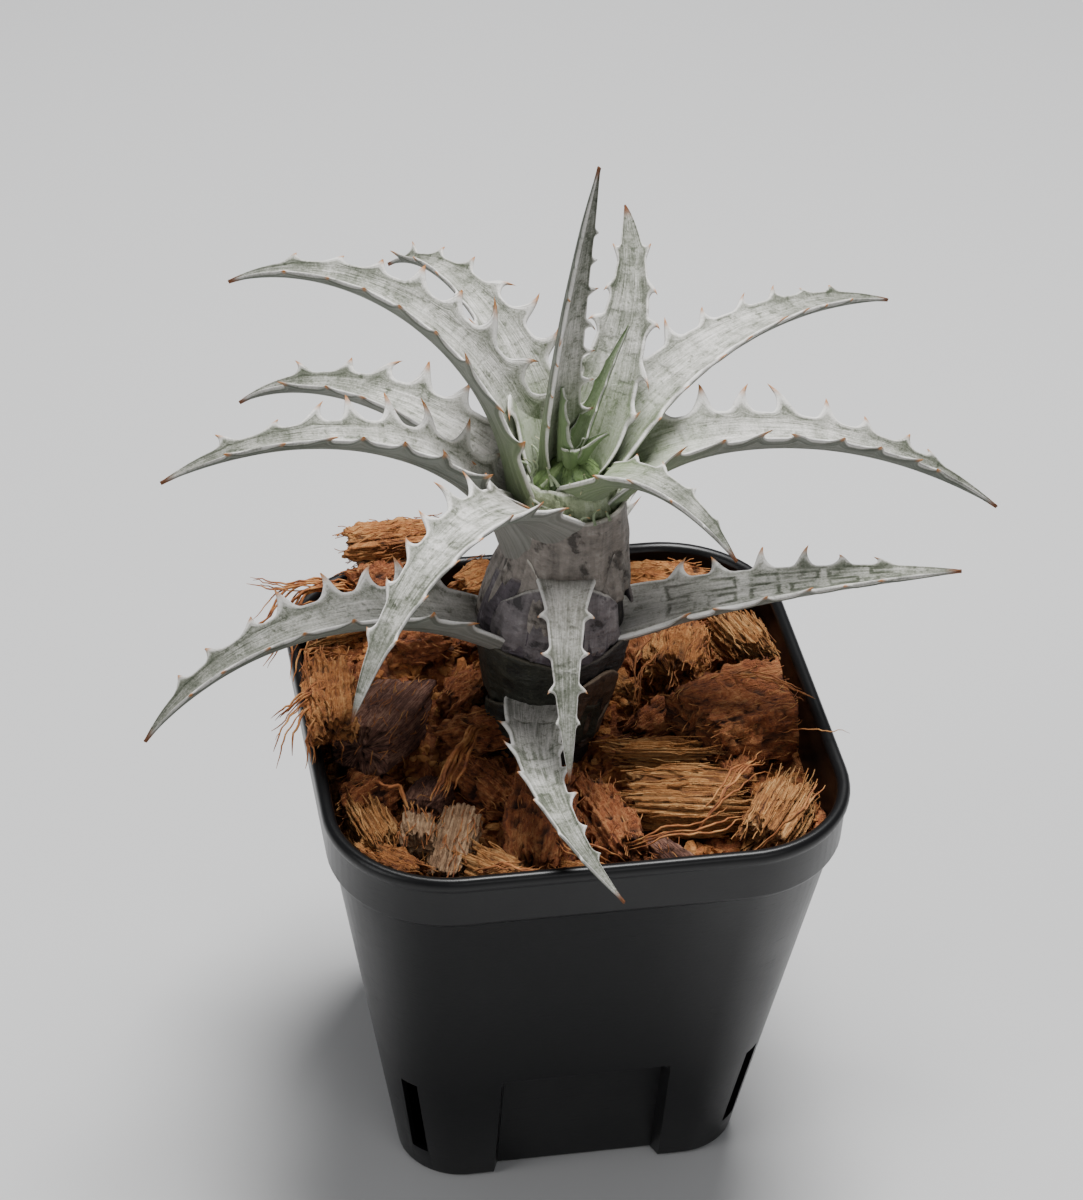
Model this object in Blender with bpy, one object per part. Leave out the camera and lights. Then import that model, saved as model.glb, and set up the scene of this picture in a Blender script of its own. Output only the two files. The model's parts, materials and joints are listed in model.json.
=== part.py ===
"""A young dyckia in its square nursery pot, filled with coconut husk chips.

Metres, +Z up. The origin is the middle of the pot's underside. +Y points to the back of the pot.
Sizes in the tables below are millimetres and degrees; MM turns them into metres.
Azimuths are measured from +X towards +Y.
"""
import math
import random
from collections import namedtuple

import bmesh
import bpy
from mathutils import Matrix, Vector

MM = 0.001
CLEARANCE = 0.3

# Square pot
POT_HEIGHT = 82.5
RIM_HALF = 45.0
RIM_CORNER = 21.0
COLLAR_HEIGHT = 10.0
COLLAR_STEP = 2.0
BASE_HALF = 30.5
BASE_CORNER = 11.0
POT_WALL = 1.2
FLOOR_TOP = 2.4
LIP_BEAD = 0.7
RECESS_HALF_WIDTH = 15.0
RECESS_HEIGHT = 27.0
RECESS_DEPTH = 2.4
CORNER_STEPS = 7
SLOT_WIDTH = 3.4
SLOT_BOTTOM = 6.0
SLOT_TOP = 25.0

# Potting mix
MIX_SIDE_GAP = 0.5
MIX_BOTTOM = FLOOR_TOP + CLEARANCE
MIX_LEVEL = 73.5
MOUND = (-22.0, 30.0, 24.0, 9.0)

# Stem, in the potting mix from STEM_FOOT up to the crown
STEM_FOOT = 56.0
STEM_LOW = (-2.8, 4.0, 76.0)
STEM_HIGH = (0.7, 5.0, 112.0)
STEM_PROFILE = ((56.0, 3.0), (62.0, 7.4), (70.0, 10.0), (78.0, 10.4), (86.0, 11.2), (93.0, 12.6),
                (99.0, 12.8), (105.0, 11.8), (112.0, 10.0), (119.0, 9.2), (123.0, 8.7), (126.0, 7.6),
                (128.0, 6.0), (129.3, 3.6))
SHEATH_STEP = 1.3
SHEATH_SWEEP = 75.0
SHEATH_FALL = 11.0
SHEATH_REACH = 14.0
SHEATH_TOP = 125.0
SHEATH_STATIONS = 13
STEM_SIDES = 32

Leaf = namedtuple("Leaf", "name azimuth sweep seat_radius seat_height rise droop bend length width tooth seed")

LEAVES = (
    Leaf("leaf_01_front_low", -108, 47.5, 12.2, 86.5, 11, -13, 1.2, 52.9, 11, 3.0, 1),
    Leaf("leaf_02_left_low", 195.5, 0, 13.4, 98.0, 31, -52.2, 1.35, 68.2, 13, 4.2, 2),
    Leaf("leaf_03_right_low", -9.7, 0, 13.2, 98.0, 19, 3.9, 0.9, 56.8, 14, 3.6, 3),
    Leaf("leaf_04_back_low", 60.1, 0, 12.9, 103.0, 15, -39.1, 1.0, 49.8, 11, 3.4, 4),
    Leaf("leaf_05_front_hooked", -101, 8, 11.6, 111.7, 20, -53.8, 0.28, 34.4, 7.8, 2.6, 5),
    Leaf("leaf_06_back_left", 93.9, 0, 11.1, 111.0, 12, -29.7, 1.0, 52.9, 11, 3.6, 6),
    Leaf("leaf_07_left", 186.2, 0, 10.7, 116.6, 72, -24.5, 0.8, 68.9, 12, 4.6, 7),
    Leaf("leaf_08_front_left", 227.5, 1, 9.6, 121.4, 58, -60.1, 0.86, 65.6, 13, 4.0, 8),
    Leaf("leaf_09_left_back", 145.8, -2, 9.9, 120.5, 34, -42, 1.3, 57.3, 13, 4.4, 9),
    Leaf("leaf_10_right", 3, -3, 9.1, 123.8, 54, -39.3, 0.45, 73.3, 12, 4.6, 10),
    Leaf("leaf_11_upper_left", 152, 2, 9.0, 124.2, 80, -29.8, 1.1, 68.5, 14, 4.0, 11),
    Leaf("leaf_12_upper_right", 33.1, -5, 7.7, 126.6, 56, -23.3, 0.55, 71.4, 13, 4.0, 12),
    Leaf("leaf_13_upper_back", 113.9, 0, 7.6, 126.8, 68, -40.7, 0.95, 59.1, 12, 4.4, 13),
    Leaf("leaf_14_front_right", -58.1, 0, 6.7, 127.4, 60, -33.4, 0.72, 36.4, 9, 2.6, 14),
    Leaf("leaf_15_inner_back", 44.6, 48, 6.2, 128.2, 68, 24.7, 0.65, 44.7, 13, 3.6, 15),
    Leaf("leaf_16_inner_tall", 122, 0, 4.6, 129.0, 94, 102, 1.0, 58.6, 8, 2.2, 16),
)

# Where two neighbours' margins would meet near the heart, the first is notched to clear the second
NOTCHED = (
    ("leaf_13_upper_back", "leaf_11_upper_left"),
    ("leaf_13_upper_back", "leaf_15_inner_back"),
    ("leaf_12_upper_right", "leaf_13_upper_back"),
    ("leaf_12_upper_right", "leaf_15_inner_back"),
    ("leaf_15_inner_back", "leaf_16_inner_tall"),
    ("leaf_15_inner_back", "leaf_14_front_right"),
    ("leaf_09_left_back", "leaf_07_left"),
    ("leaf_09_left_back", "leaf_08_front_left"),
)

YOUNG_LEAVES = (
    Leaf("young_right", 44, 0, 1.2, 131.0, 66, 48, 1.0, 20, 2.6, 0.9, 31),
    Leaf("young_left", 176, 0, 1.2, 131.0, 84, 88, 1.0, 14, 2.6, 0.9, 32),
    Leaf("young_front", -105, 0, 1.2, 131.0, 70, 20, 1.0, 7, 2.6, 1.0, 33),
    Leaf("young_side", -15, 0, 1.2, 131.0, 66, 20, 1.0, 7, 2.6, 1.0, 34),
)

TOOTH_PITCH = 6.8
TOOTH_ROOT = 3.4
TOOTH_LIFT = 0.4
LEAF_THICKNESS = 2.1
MARGIN_THICKNESS = 0.7
TOOTH_THICKNESS = 0.36
TIP_HALF_WIDTH = 0.22
CHANNEL_DEPTH = 0.22
CLASP_DEPTH = 0.20
CLASP_REACH = 0.12
TAPER_POWER = 0.8
SEAT_DEPTH = 1.2
SECTION = (-1.0, -0.45, 0.45, 1.0)

Chip = namedtuple("Chip", "name x y z length width height heading tilt seed")

# Red-brown chips grow out of the bed; straw-coloured ones are loose and lie in hollows of their own
BED_CHIPS = (
    Chip("smooth_left", -31, 3, 78, 22, 15, 11, 62, 14, 51),
    Chip("mass_left", -39, 15, 76, 15, 12, 10, 80, 6, 52),
    Chip("front_red", -8, -24, 74, 22, 13, 11, 75, -8, 53),
    Chip("curved_front", 4, -25, 74, 20, 8, 11, 100, 6, 54),
    Chip("crumbly_right", 33, -2, 77, 24, 18, 13, 20, 8, 55),
    Chip("back_right", 28, 37, 77, 22, 13, 9, -12, 5, 56),
    Chip("back_middle", 4, 36, 77, 19, 12, 9, 15, -6, 57),
    Chip("round_left_back", -25, 37, 82, 14, 12, 10, 30, 10, 58),
    Chip("left_corner", -36, -12, 73, 12, 10, 9, 40, 0, 59),
    Chip("behind_stem", -8, 26, 77, 16, 11, 9, 50, 6, 60),
    Chip("right_of_stem", 24, 16, 77, 15, 12, 11, 70, 10, 61),
    Chip("front_of_stem", -14, -12, 73, 14, 9, 8, 120, 0, 62),
)

LOOSE_CHIPS = (
    Chip("husk_chip_back_left", -24, 44, 87.9, 15, 9, 4, 4, 0, 71),
    Chip("husk_chip_front_right", 33, -27, 75, 18, 11, 8, 60, 10, 72),
    Chip("husk_chip_front_layered", 18, -22, 75.5, 17, 13, 9, -4, 6, 73),
    Chip("husk_chip_front_pale", -23, -27, 74.5, 15, 8, 8, 70, -6, 74),
    Chip("husk_chip_front_striped", -36, -22, 75, 12, 7, 8, 100, 8, 75),
    Chip("husk_chip_right_straw", 36, 18, 78.6, 13, 9, 8, 100, 12, 76),
    Chip("husk_chip_by_stem", 16, -9.5, 76.5, 13, 5, 5, -8, 0, 77),
    Chip("husk_chip_left_clump", -40, 1, 85.9, 18, 9, 6, 86, 0, 78),
)

CHIP_SIDES = 9
CHIP_STATIONS = 4


def clear_scene():
    """Empty the scene before modelling."""
    for item in list(bpy.data.objects):
        bpy.data.objects.remove(item, do_unlink=True)


def make_material(name, colour, roughness, metallic=0.0):
    """A plain Principled material."""
    material = bpy.data.materials.new(name)
    material.use_nodes = True
    shader = material.node_tree.nodes["Principled BSDF"]
    shader.inputs["Base Color"].default_value = (*colour, 1.0)
    shader.inputs["Roughness"].default_value = roughness
    shader.inputs["Metallic"].default_value = metallic
    return material


def make_object(name, points, faces, material):
    """One mesh object from points in millimetres."""
    mesh = bpy.data.meshes.new(name)
    mesh.from_pydata([Vector(point) * MM for point in points], [], faces)
    mesh.validate()
    thing = bpy.data.objects.new(name, mesh)
    bpy.context.scene.collection.objects.link(thing)
    mesh.materials.append(material)
    return thing


def smooth(thing, angle=40.0):
    """Shade a piece smooth, with its sharp edges kept."""
    thing.data.shade_smooth()
    thing.data.set_sharp_from_angle(angle=math.radians(angle))


def apply_boolean(thing, others, operation):
    """Join or cut a piece with a list of others, gathered in one collection, and apply the result."""
    group = bpy.data.collections.new(operation)
    bpy.context.scene.collection.children.link(group)
    for other in others:
        bpy.context.scene.collection.objects.unlink(other)
        group.objects.link(other)
    modifier = thing.modifiers.new("boolean", "BOOLEAN")
    modifier.operation = operation
    modifier.solver = "MANIFOLD"
    modifier.operand_type = "COLLECTION"
    modifier.collection = group
    bpy.context.view_layer.update()
    evaluated = thing.evaluated_get(bpy.context.evaluated_depsgraph_get())
    result = bpy.data.meshes.new_from_object(evaluated)
    thing.modifiers.clear()
    thing.data = result
    for other in others:
        bpy.data.objects.remove(other, do_unlink=True)
    bpy.data.collections.remove(group)


def loft(rings):
    """Points and faces of a closed body through rings of equal length, listed from bottom to top."""
    count = len(rings[0])
    points = [point for ring in rings for point in ring]
    faces = []
    for level in range(len(rings) - 1):
        for side in range(count):
            here = level * count + side
            beside = level * count + (side + 1) % count
            faces.append((here, beside, beside + count, here + count))
    last = (len(rings) - 1) * count
    faces.append(tuple(reversed(range(count))))
    faces.append(tuple(range(last, last + count)))
    return points, faces


# Pot

def square_ring(half, corner, height, recess=0.0):
    """A rounded square, counter-clockwise, with each side pressed in over its middle."""
    ring = []
    for quarter in range(4):
        turn = Matrix.Rotation(math.radians(90.0 * quarter), 3, "Z")
        side = [(half - recess, -RECESS_HALF_WIDTH + 1.0), (half - recess, RECESS_HALF_WIDTH - 1.0)]
        side.insert(0, (half, -RECESS_HALF_WIDTH))
        side.append((half, RECESS_HALF_WIDTH))
        for step in range(CORNER_STEPS + 1):
            angle = math.radians(90.0 * step / CORNER_STEPS)
            centre = half - corner
            side.append((centre + corner * math.cos(angle), centre + corner * math.sin(angle)))
        ring.extend(turn @ Vector((x, y, height)) for x, y in side)
    return ring


def pot_width(height):
    """Half width and corner radius of the tapered wall below the collar."""
    share = height / (POT_HEIGHT - COLLAR_HEIGHT)
    half = BASE_HALF + (RIM_HALF - COLLAR_STEP - BASE_HALF) * share
    corner = BASE_CORNER + (RIM_CORNER - 2.0 - BASE_CORNER) * share
    return half, corner


def pot_rings():
    """The pot's section, up the outside, over the lip and down the inside to its floor."""
    step_height = POT_HEIGHT - COLLAR_HEIGHT
    rings = []
    for height, shrink in ((0.0, 0.8), (0.8, 0.0), (RECESS_HEIGHT - 1.5, 0.0)):
        half, corner = pot_width(height)
        rings.append(square_ring(half - shrink, corner - shrink, height, RECESS_DEPTH))
    for height in (RECESS_HEIGHT, step_height - 1.2):
        half, corner = pot_width(height)
        rings.append(square_ring(half, corner, height))
    rings.append(square_ring(RIM_HALF - 0.9, RIM_CORNER - 0.9, step_height))
    rings.append(square_ring(RIM_HALF - 0.5, RIM_CORNER - 0.5, POT_HEIGHT - 2.4))
    rings.append(square_ring(RIM_HALF, RIM_CORNER, POT_HEIGHT - 1.6))
    rings.append(square_ring(RIM_HALF, RIM_CORNER, POT_HEIGHT - 0.7))
    rings.append(square_ring(RIM_HALF - 0.6, RIM_CORNER - 0.6, POT_HEIGHT))
    rings.append(square_ring(RIM_HALF - 1.3, RIM_CORNER - 1.3, POT_HEIGHT))
    rings.append(square_ring(RIM_HALF - 0.5 - POT_WALL - LIP_BEAD, RIM_CORNER - 2.4, POT_HEIGHT - 0.8))
    rings.append(square_ring(RIM_HALF - 0.5 - POT_WALL, RIM_CORNER - 1.9, POT_HEIGHT - 2.0))
    rings.append(square_ring(RIM_HALF - 0.9 - POT_WALL, RIM_CORNER - 2.1, step_height + POT_WALL))
    for height in (step_height - 1.2, RECESS_HEIGHT + POT_WALL):
        half, corner = pot_width(height)
        rings.append(square_ring(half - POT_WALL, corner - POT_WALL, height))
    for height in (RECESS_HEIGHT - 1.5 + POT_WALL, FLOOR_TOP):
        half, corner = pot_width(height)
        rings.append(square_ring(half - POT_WALL, corner - POT_WALL, height, RECESS_DEPTH))
    return rings


def build_pot(material):
    """Thin-walled square pot with drain slots low in its corners."""
    points, faces = loft(pot_rings())
    pot = recalculate(make_object("pot", points, faces, material))
    cutters = []
    for quarter in range(4):
        turn = Matrix.Rotation(math.radians(90.0 * quarter + 45.0), 3, "Z")
        rings = []
        for height in (SLOT_BOTTOM, SLOT_TOP):
            corners = ((25.0, -0.5), (60.0, -0.5), (60.0, 0.5), (25.0, 0.5))
            rings.append([turn @ Vector((x, y * SLOT_WIDTH, height)) for x, y in corners])
        cutters.append(make_object("drain_slot", *loft(rings), material))
    apply_boolean(pot, cutters, "DIFFERENCE")
    smooth(pot, 35.0)
    return pot


# Husk chips

def chip_points(chip, grow=0.0):
    """Rings of a rough chip: a barked block with its grain along its length."""
    draw = random.Random(chip.seed)
    turn = Matrix.Rotation(math.radians(chip.heading), 3, "Z") @ Matrix.Rotation(math.radians(chip.tilt), 3, "Y")
    notches = [draw.uniform(0.80, 1.06) for _ in range(CHIP_SIDES)]
    rings = []
    for station in range(CHIP_STATIONS):
        along = station / (CHIP_STATIONS - 1) - 0.5
        pinch = 1.0 - 0.22 * (2.0 * abs(along)) ** 3 + draw.uniform(-0.05, 0.05)
        ring = []
        for side in range(CHIP_SIDES):
            angle = 2.0 * math.pi * (side + 0.25) / CHIP_SIDES
            square = 1.0 / max(abs(math.cos(angle)), abs(math.sin(angle))) ** 0.75
            rough = notches[side] * square * pinch * draw.uniform(0.94, 1.06)
            across = math.cos(angle) * (chip.width / 2.0 * rough + grow)
            above = math.sin(angle) * (chip.height / 2.0 * rough + grow)
            end = along * (chip.length + 2.0 * grow) * draw.uniform(0.93, 1.05)
            ring.append(turn @ Vector((end, across, above)) + Vector((chip.x, chip.y, chip.z)))
        rings.append(ring)
    return rings


def make_chip(chip, material, grow=0.0):
    """One chip as a closed body."""
    points, faces = loft(chip_points(chip, grow))
    thing = make_object(chip.name, points, faces, material)
    return recalculate(thing)


def drop_scraps(thing):
    """Keep only the largest body of a cut piece."""
    work = bmesh.new()
    work.from_mesh(thing.data)
    bodies = []
    waiting = set(work.verts)
    while waiting:
        body = set()
        edge = [waiting.pop()]
        while edge:
            vert = edge.pop()
            body.add(vert)
            for link in vert.link_edges:
                other = link.other_vert(vert)
                if other in waiting:
                    waiting.discard(other)
                    edge.append(other)
        bodies.append(body)
    bodies.sort(key=len)
    for body in bodies[:-1]:
        bmesh.ops.delete(work, geom=list(body), context="VERTS")
    work.to_mesh(thing.data)
    work.free()


def recalculate(thing):
    """Point a closed mesh's faces outwards and split them into triangles."""
    work = bmesh.new()
    work.from_mesh(thing.data)
    bmesh.ops.recalc_face_normals(work, faces=work.faces)
    bmesh.ops.triangulate(work, faces=work.faces)
    work.to_mesh(thing.data)
    work.free()
    return thing


# Potting mix

def mix_height(x, y):
    """Height of the bed: nearly level, with a mound at the back left."""
    centre_x, centre_y, spread, rise = MOUND
    mound = rise * math.exp(-((x - centre_x) ** 2 + (y - centre_y) ** 2) / spread ** 2)
    ripple = 0.9 * math.sin(0.41 * x + 0.8) * math.cos(0.37 * y) + 0.6 * math.sin(0.7 * y + 0.23 * x)
    return MIX_LEVEL + mound + ripple


def mix_space(material):
    """The space the husk may fill: inside the pot with a small gap, and a little wider above its rim."""
    inset = POT_WALL + MIX_SIDE_GAP
    step_height = POT_HEIGHT - COLLAR_HEIGHT
    rings = []
    for height in (MIX_BOTTOM, RECESS_HEIGHT + POT_WALL + 0.8):
        half, corner = pot_width(height)
        rings.append(square_ring(half - inset, corner - inset, height, RECESS_DEPTH + 1.0))
    for height in (RECESS_HEIGHT + POT_WALL + 3.0, step_height - 1.2):
        half, corner = pot_width(height)
        rings.append(square_ring(half - inset, corner - inset, height))
    half = RIM_HALF - 0.5 - LIP_BEAD - inset
    rings.append(square_ring(half, RIM_CORNER - 3.4, step_height + 2.0))
    rings.append(square_ring(half, RIM_CORNER - 3.4, POT_HEIGHT + CLEARANCE))
    rings.append(square_ring(RIM_HALF + 2.0, RIM_CORNER, POT_HEIGHT + CLEARANCE + 0.1))
    rings.append(square_ring(RIM_HALF + 2.0, RIM_CORNER, POT_HEIGHT + 20.0))
    points, faces = loft(rings)
    return recalculate(make_object("mix_space", points, faces, material))


def build_mix(material, loose_chips):
    """The bed of husk with its fused chips, a plain hole for the stem and a hollow under each loose chip."""
    half = RIM_HALF + 1.0
    rings = [square_ring(half, RIM_CORNER, MIX_BOTTOM - 1.0)]
    edge = square_ring(half, RIM_CORNER, 0.0)
    for share in (1.0, 0.86, 0.68, 0.5, 0.32, 0.16):
        rings.append([Vector((point.x * share, point.y * share, mix_height(point.x * share, point.y * share)))
                      for point in edge])
    points, faces = loft(rings)
    bed = make_object("husk_mix_bed", points, faces, material)
    recalculate(bed)
    chips = [make_chip(chip, material) for chip in BED_CHIPS]
    apply_boolean(bed, chips, "UNION")
    apply_boolean(bed, [mix_space(material)], "INTERSECT")
    hollows = [make_chip(chip, material, CLEARANCE + 0.05) for chip in loose_chips]
    hollows.append(stem_hole(material))
    apply_boolean(bed, hollows, "DIFFERENCE")
    drop_scraps(bed)
    return bed


def stem_hole(material):
    """The plain hole in the mix that the stem stands in, a little wider than the stem."""
    wide = CLEARANCE + 0.15
    rings = [[stem_point(360.0 * side / STEM_SIDES, STEM_FOOT, wide) - Vector((0.0, 0.0, CLEARANCE))
              for side in range(STEM_SIDES)]]
    for height in (62.0, 70.0, 78.0, 86.0, 99.0):
        extra = SHEATH_STEP if height > MIX_LEVEL else 0.0
        rings.append([stem_point(360.0 * side / STEM_SIDES, height, wide + extra) for side in range(STEM_SIDES)])
    points, faces = loft(rings)
    return recalculate(make_object("stem_hole", points, faces, material))


# Stem

def stem_axis(height):
    """A point on the stem's leaning centre line."""
    low, high = Vector(STEM_LOW), Vector(STEM_HIGH)
    share = min(max((height - low.z) / (high.z - low.z), 0.0), 1.0)
    centre = low.lerp(high, share)
    centre.z = height
    return centre


def profile_radius(height):
    """The stem's radius without its sheaths, read along its profile."""
    for (low, small), (high, large) in zip(STEM_PROFILE, STEM_PROFILE[1:]):
        if height <= high:
            share = (height - low) / (high - low)
            return small + (large - small) * min(max(share, 0.0), 1.0)
    return STEM_PROFILE[-1][1]


def stem_point(azimuth, height, proud=0.0):
    """A point on the stem's surface, or standing proud of it."""
    turn = math.radians(azimuth)
    radius = profile_radius(height) + proud
    return stem_axis(height) + Vector((radius * math.cos(turn), radius * math.sin(turn), 0.0))


def make_sheath(leaf, material):
    """The clasping base of one leaf: a thin scale round the stem that thickens towards its upper edge."""
    rings = []
    for station in range(SHEATH_STATIONS):
        away = 2.0 * station / (SHEATH_STATIONS - 1) - 1.0
        azimuth = leaf.azimuth + away * SHEATH_SWEEP
        top = leaf.seat_height + 0.4 - SHEATH_FALL * away * away
        bottom = leaf.seat_height - SHEATH_REACH
        step = SHEATH_STEP * (1.0 - 0.45 * away * away)
        rings.append([stem_point(azimuth, bottom, -1.5), stem_point(azimuth, bottom, -0.1),
                      stem_point(azimuth, (top + bottom) / 2.0, 0.75 * step), stem_point(azimuth, top, step),
                      stem_point(azimuth, top + 0.3, -1.5)])
    points, faces = loft(rings)
    return recalculate(make_object(leaf.name + "_sheath", points, faces, material))


def build_stem(material):
    """The leafy stem: a short thick column of clasping sheaths, with a socket for each leaf's root."""
    rings = []
    for height, _ in STEM_PROFILE:
        rings.append([stem_point(360.0 * side / STEM_SIDES, height) for side in range(STEM_SIDES)])
    points, faces = loft(rings)
    stem = recalculate(make_object("stem_with_sheaths", points, faces, material))
    sheaths = [make_sheath(leaf, material) for leaf in LEAVES if leaf.seat_height < SHEATH_TOP]
    apply_boolean(stem, sheaths, "UNION")
    roots = [leaf_cutter(leaf, material, 0.2) for leaf in LEAVES]
    apply_boolean(stem, roots, "DIFFERENCE")
    drop_scraps(stem)
    smooth(stem, 30.0)
    return stem


# Leaves

def leaf_frames(leaf, shares):
    """Place, heading, sideways and upward direction along a leaf's midline."""
    samples = 200
    turn = math.radians(leaf.azimuth)
    seat = stem_axis(leaf.seat_height)
    seat += Vector((leaf.seat_radius * math.cos(turn), leaf.seat_radius * math.sin(turn), 0.0))
    place = seat
    track = []
    for sample in range(samples + 1):
        share = sample / samples
        pitch = math.radians(leaf.rise + (leaf.droop - leaf.rise) * share ** leaf.bend)
        azimuth = math.radians(leaf.azimuth + leaf.sweep * share)
        level = math.cos(pitch)
        heading = Vector((level * math.cos(azimuth), level * math.sin(azimuth), math.sin(pitch)))
        across = Vector((-math.sin(azimuth), math.cos(azimuth), 0.0))
        upward = heading.cross(across)
        track.append((place, heading, across, upward))
        place = place + heading * (leaf.length / samples)
    frames = []
    for share in shares:
        if share < 0.0:
            place, heading, across, upward = track[0]
            frames.append((place + heading * share * leaf.length, heading, across, upward))
        else:
            spot = share * samples
            low = min(int(spot), samples - 1)
            place = track[low][0].lerp(track[low + 1][0], spot - low)
            frames.append((place, *track[low][1:]))
    return frames


def leaf_stations(leaf):
    """Shares of the length at which the leaf has sections, each marked with the tooth it carries."""
    draw = random.Random(leaf.seed)
    scale = min(1.0, max(leaf.width / 9.0, 0.6))
    root = TOOTH_ROOT / leaf.length * scale
    pitch = TOOTH_PITCH / leaf.length * scale
    stations = [(-SEAT_DEPTH / leaf.length, 0.0, 0.0, 0.0), (0.02, 0.0, 0.0, 0.0), (0.07, 0.0, 0.0, 0.0)]
    share = 0.07 + pitch * 0.7
    while share < 0.88:
        size = leaf.tooth * (0.45 + 0.55 * math.sin(math.pi * min(share * 1.25 + 0.12, 1.0)))
        size *= draw.uniform(0.8, 1.1)
        hook = draw.uniform(-0.26, 0.34)
        stations.append((share - root * 0.5, 0.0, 0.0, 0.0))
        stations.append((share, size, size * draw.uniform(0.75, 1.05), hook))
        stations.append((share + root * 0.5, 0.0, 0.0, 0.0))
        share += pitch * draw.uniform(0.92, 1.12)
    stations.append((0.955, 0.0, 0.0, 0.0))
    stations.append((1.0, 0.0, 0.0, 0.0))
    return stations


def leaf_section(leaf, share, frame, left_tooth, right_tooth, hook, grow=0.0):
    """Upper points from the left margin to the right, then the lower points back."""
    place, heading, across, upward = frame
    inside = min(max(share, 0.0), 1.0)
    half = max(leaf.width / 2.0 * (1.0 - inside) ** TAPER_POWER, TIP_HALF_WIDTH)
    clasp = max(0.0, 1.0 - inside / CLASP_REACH) ** 2
    channel = (CHANNEL_DEPTH + CLASP_DEPTH * clasp) * half
    middle = max(LEAF_THICKNESS * (1.0 - inside) ** 0.6 * min(1.0, leaf.width / 7.0), 0.5)
    margin = min(MARGIN_THICKNESS, middle)
    top, bottom = [], []
    for spot in SECTION:
        thickness = margin + (middle - margin) * (1.0 - spot * spot)
        tooth = left_tooth if spot < -0.9 else right_tooth if spot > 0.9 else 0.0
        if tooth:
            thickness = TOOTH_THICKNESS
        side = half * spot + math.copysign(tooth + grow * abs(spot), spot)
        lift = channel * spot * spot + TOOTH_LIFT * tooth
        base = place + across * side + heading * (hook * tooth)
        top.append(base + upward * (lift + thickness * 0.5 + grow))
        bottom.append(base + upward * (lift - thickness * 0.5 - grow))
    return top + bottom[::-1]


def leaf_mesh(leaf, grow=0.0, reach=1.0):
    """Points and triangles of one toothed leaf; the two faces are split alike."""
    stations = [station for station in leaf_stations(leaf) if station[0] <= reach]
    shares = [station[0] for station in stations]
    if grow:
        shares[0] -= grow / leaf.length
    frames = leaf_frames(leaf, shares)
    points = []
    for share, frame, (_, left, right, hook) in zip(shares, frames, stations):
        points.extend(leaf_section(leaf, share, frame, left, right, hook, grow))
    width = len(SECTION)
    ring = 2 * width
    faces = []
    for level in range(len(shares) - 1):
        here = level * ring
        for spot in range(width - 1):
            a, b = here + spot, here + spot + 1
            faces += [(a, a + ring, b + ring), (a, b + ring, b)]
            a, b = here + ring - 1 - spot, here + ring - 2 - spot
            faces += [(a, b + ring, a + ring), (a, b, b + ring)]
        for a, b in ((here + width - 1, here + width), (here + ring - 1, here)):
            faces += [(a, a + ring, b + ring), (a, b + ring, b)]
    last = (len(shares) - 1) * ring
    for spot in range(width - 1):
        a, b, c, d = spot, spot + 1, ring - 2 - spot, ring - 1 - spot
        faces += [(a, b, c), (a, c, d)]
        faces += [(last + a, last + c, last + b), (last + a, last + d, last + c)]
    return points, faces


def build_leaf(leaf, material):
    """One leaf with its teeth."""
    points, faces = leaf_mesh(leaf)
    thing = recalculate(make_object(leaf.name, points, faces, material))
    neighbours = [leaf_cutter(other, material) for other in LEAVES if (leaf.name, other.name) in NOTCHED]
    if neighbours:
        apply_boolean(thing, neighbours, "DIFFERENCE")
        drop_scraps(thing)
    smooth(thing, 50.0)
    return thing


def leaf_cutter(leaf, material, reach=1.0):
    """A leaf, or only its root, a little larger all round, to cut what it would cross."""
    points, faces = leaf_mesh(leaf, CLEARANCE + 0.05, reach)
    return recalculate(make_object(leaf.name + "_cutter", points, faces, material))


def build_heart(material):
    """The growing point: a small dome with the youngest leaves fused to it."""
    centre = stem_axis(130.0)
    rings = []
    for height, radius in ((129.7, 2.0), (130.9, 2.2), (131.8, 1.2), (132.2, 0.4)):
        rings.append([Vector((centre.x + radius * math.cos(turn), centre.y + radius * math.sin(turn), height))
                      for turn in (2.0 * math.pi * side / 10 for side in range(10))])
    points, faces = loft(rings)
    heart = recalculate(make_object("heart_young_leaves", points, faces, material))
    blades = []
    for leaf in YOUNG_LEAVES:
        points, faces = leaf_mesh(leaf)
        blades.append(recalculate(make_object(leaf.name, points, faces, material)))
    apply_boolean(heart, blades, "UNION")
    smooth(heart, 50.0)
    return heart


def main():
    """Model every piece of the potted plant."""
    clear_scene()
    pot_plastic = make_material("pot plastic", (0.012, 0.012, 0.013), 0.38)
    red_husk = make_material("red brown husk", (0.20, 0.065, 0.025), 0.95)
    straw_husk = make_material("straw husk", (0.42, 0.24, 0.11), 0.92)
    sheath_skin = make_material("mauve sheath", (0.20, 0.17, 0.17), 0.6)
    leaf_scale = make_material("silver leaf", (0.50, 0.52, 0.47), 0.75)
    heart_green = make_material("green heart", (0.30, 0.40, 0.24), 0.6)
    build_pot(pot_plastic)
    build_mix(red_husk, LOOSE_CHIPS)
    for chip in LOOSE_CHIPS:
        make_chip(chip, straw_husk)
    build_stem(sheath_skin)
    for leaf in LEAVES:
        build_leaf(leaf, leaf_scale)
    build_heart(heart_green)


main()
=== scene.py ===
"""A young dyckia in its square nursery pot, filled with coconut husk chips.

Metres, +Z up. The tables are in millimetres and degrees, and MM turns them into metres.
"""

import json
import math
import random
from collections import namedtuple

import bmesh
import bpy
from mathutils import Matrix, Vector, noise

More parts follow.
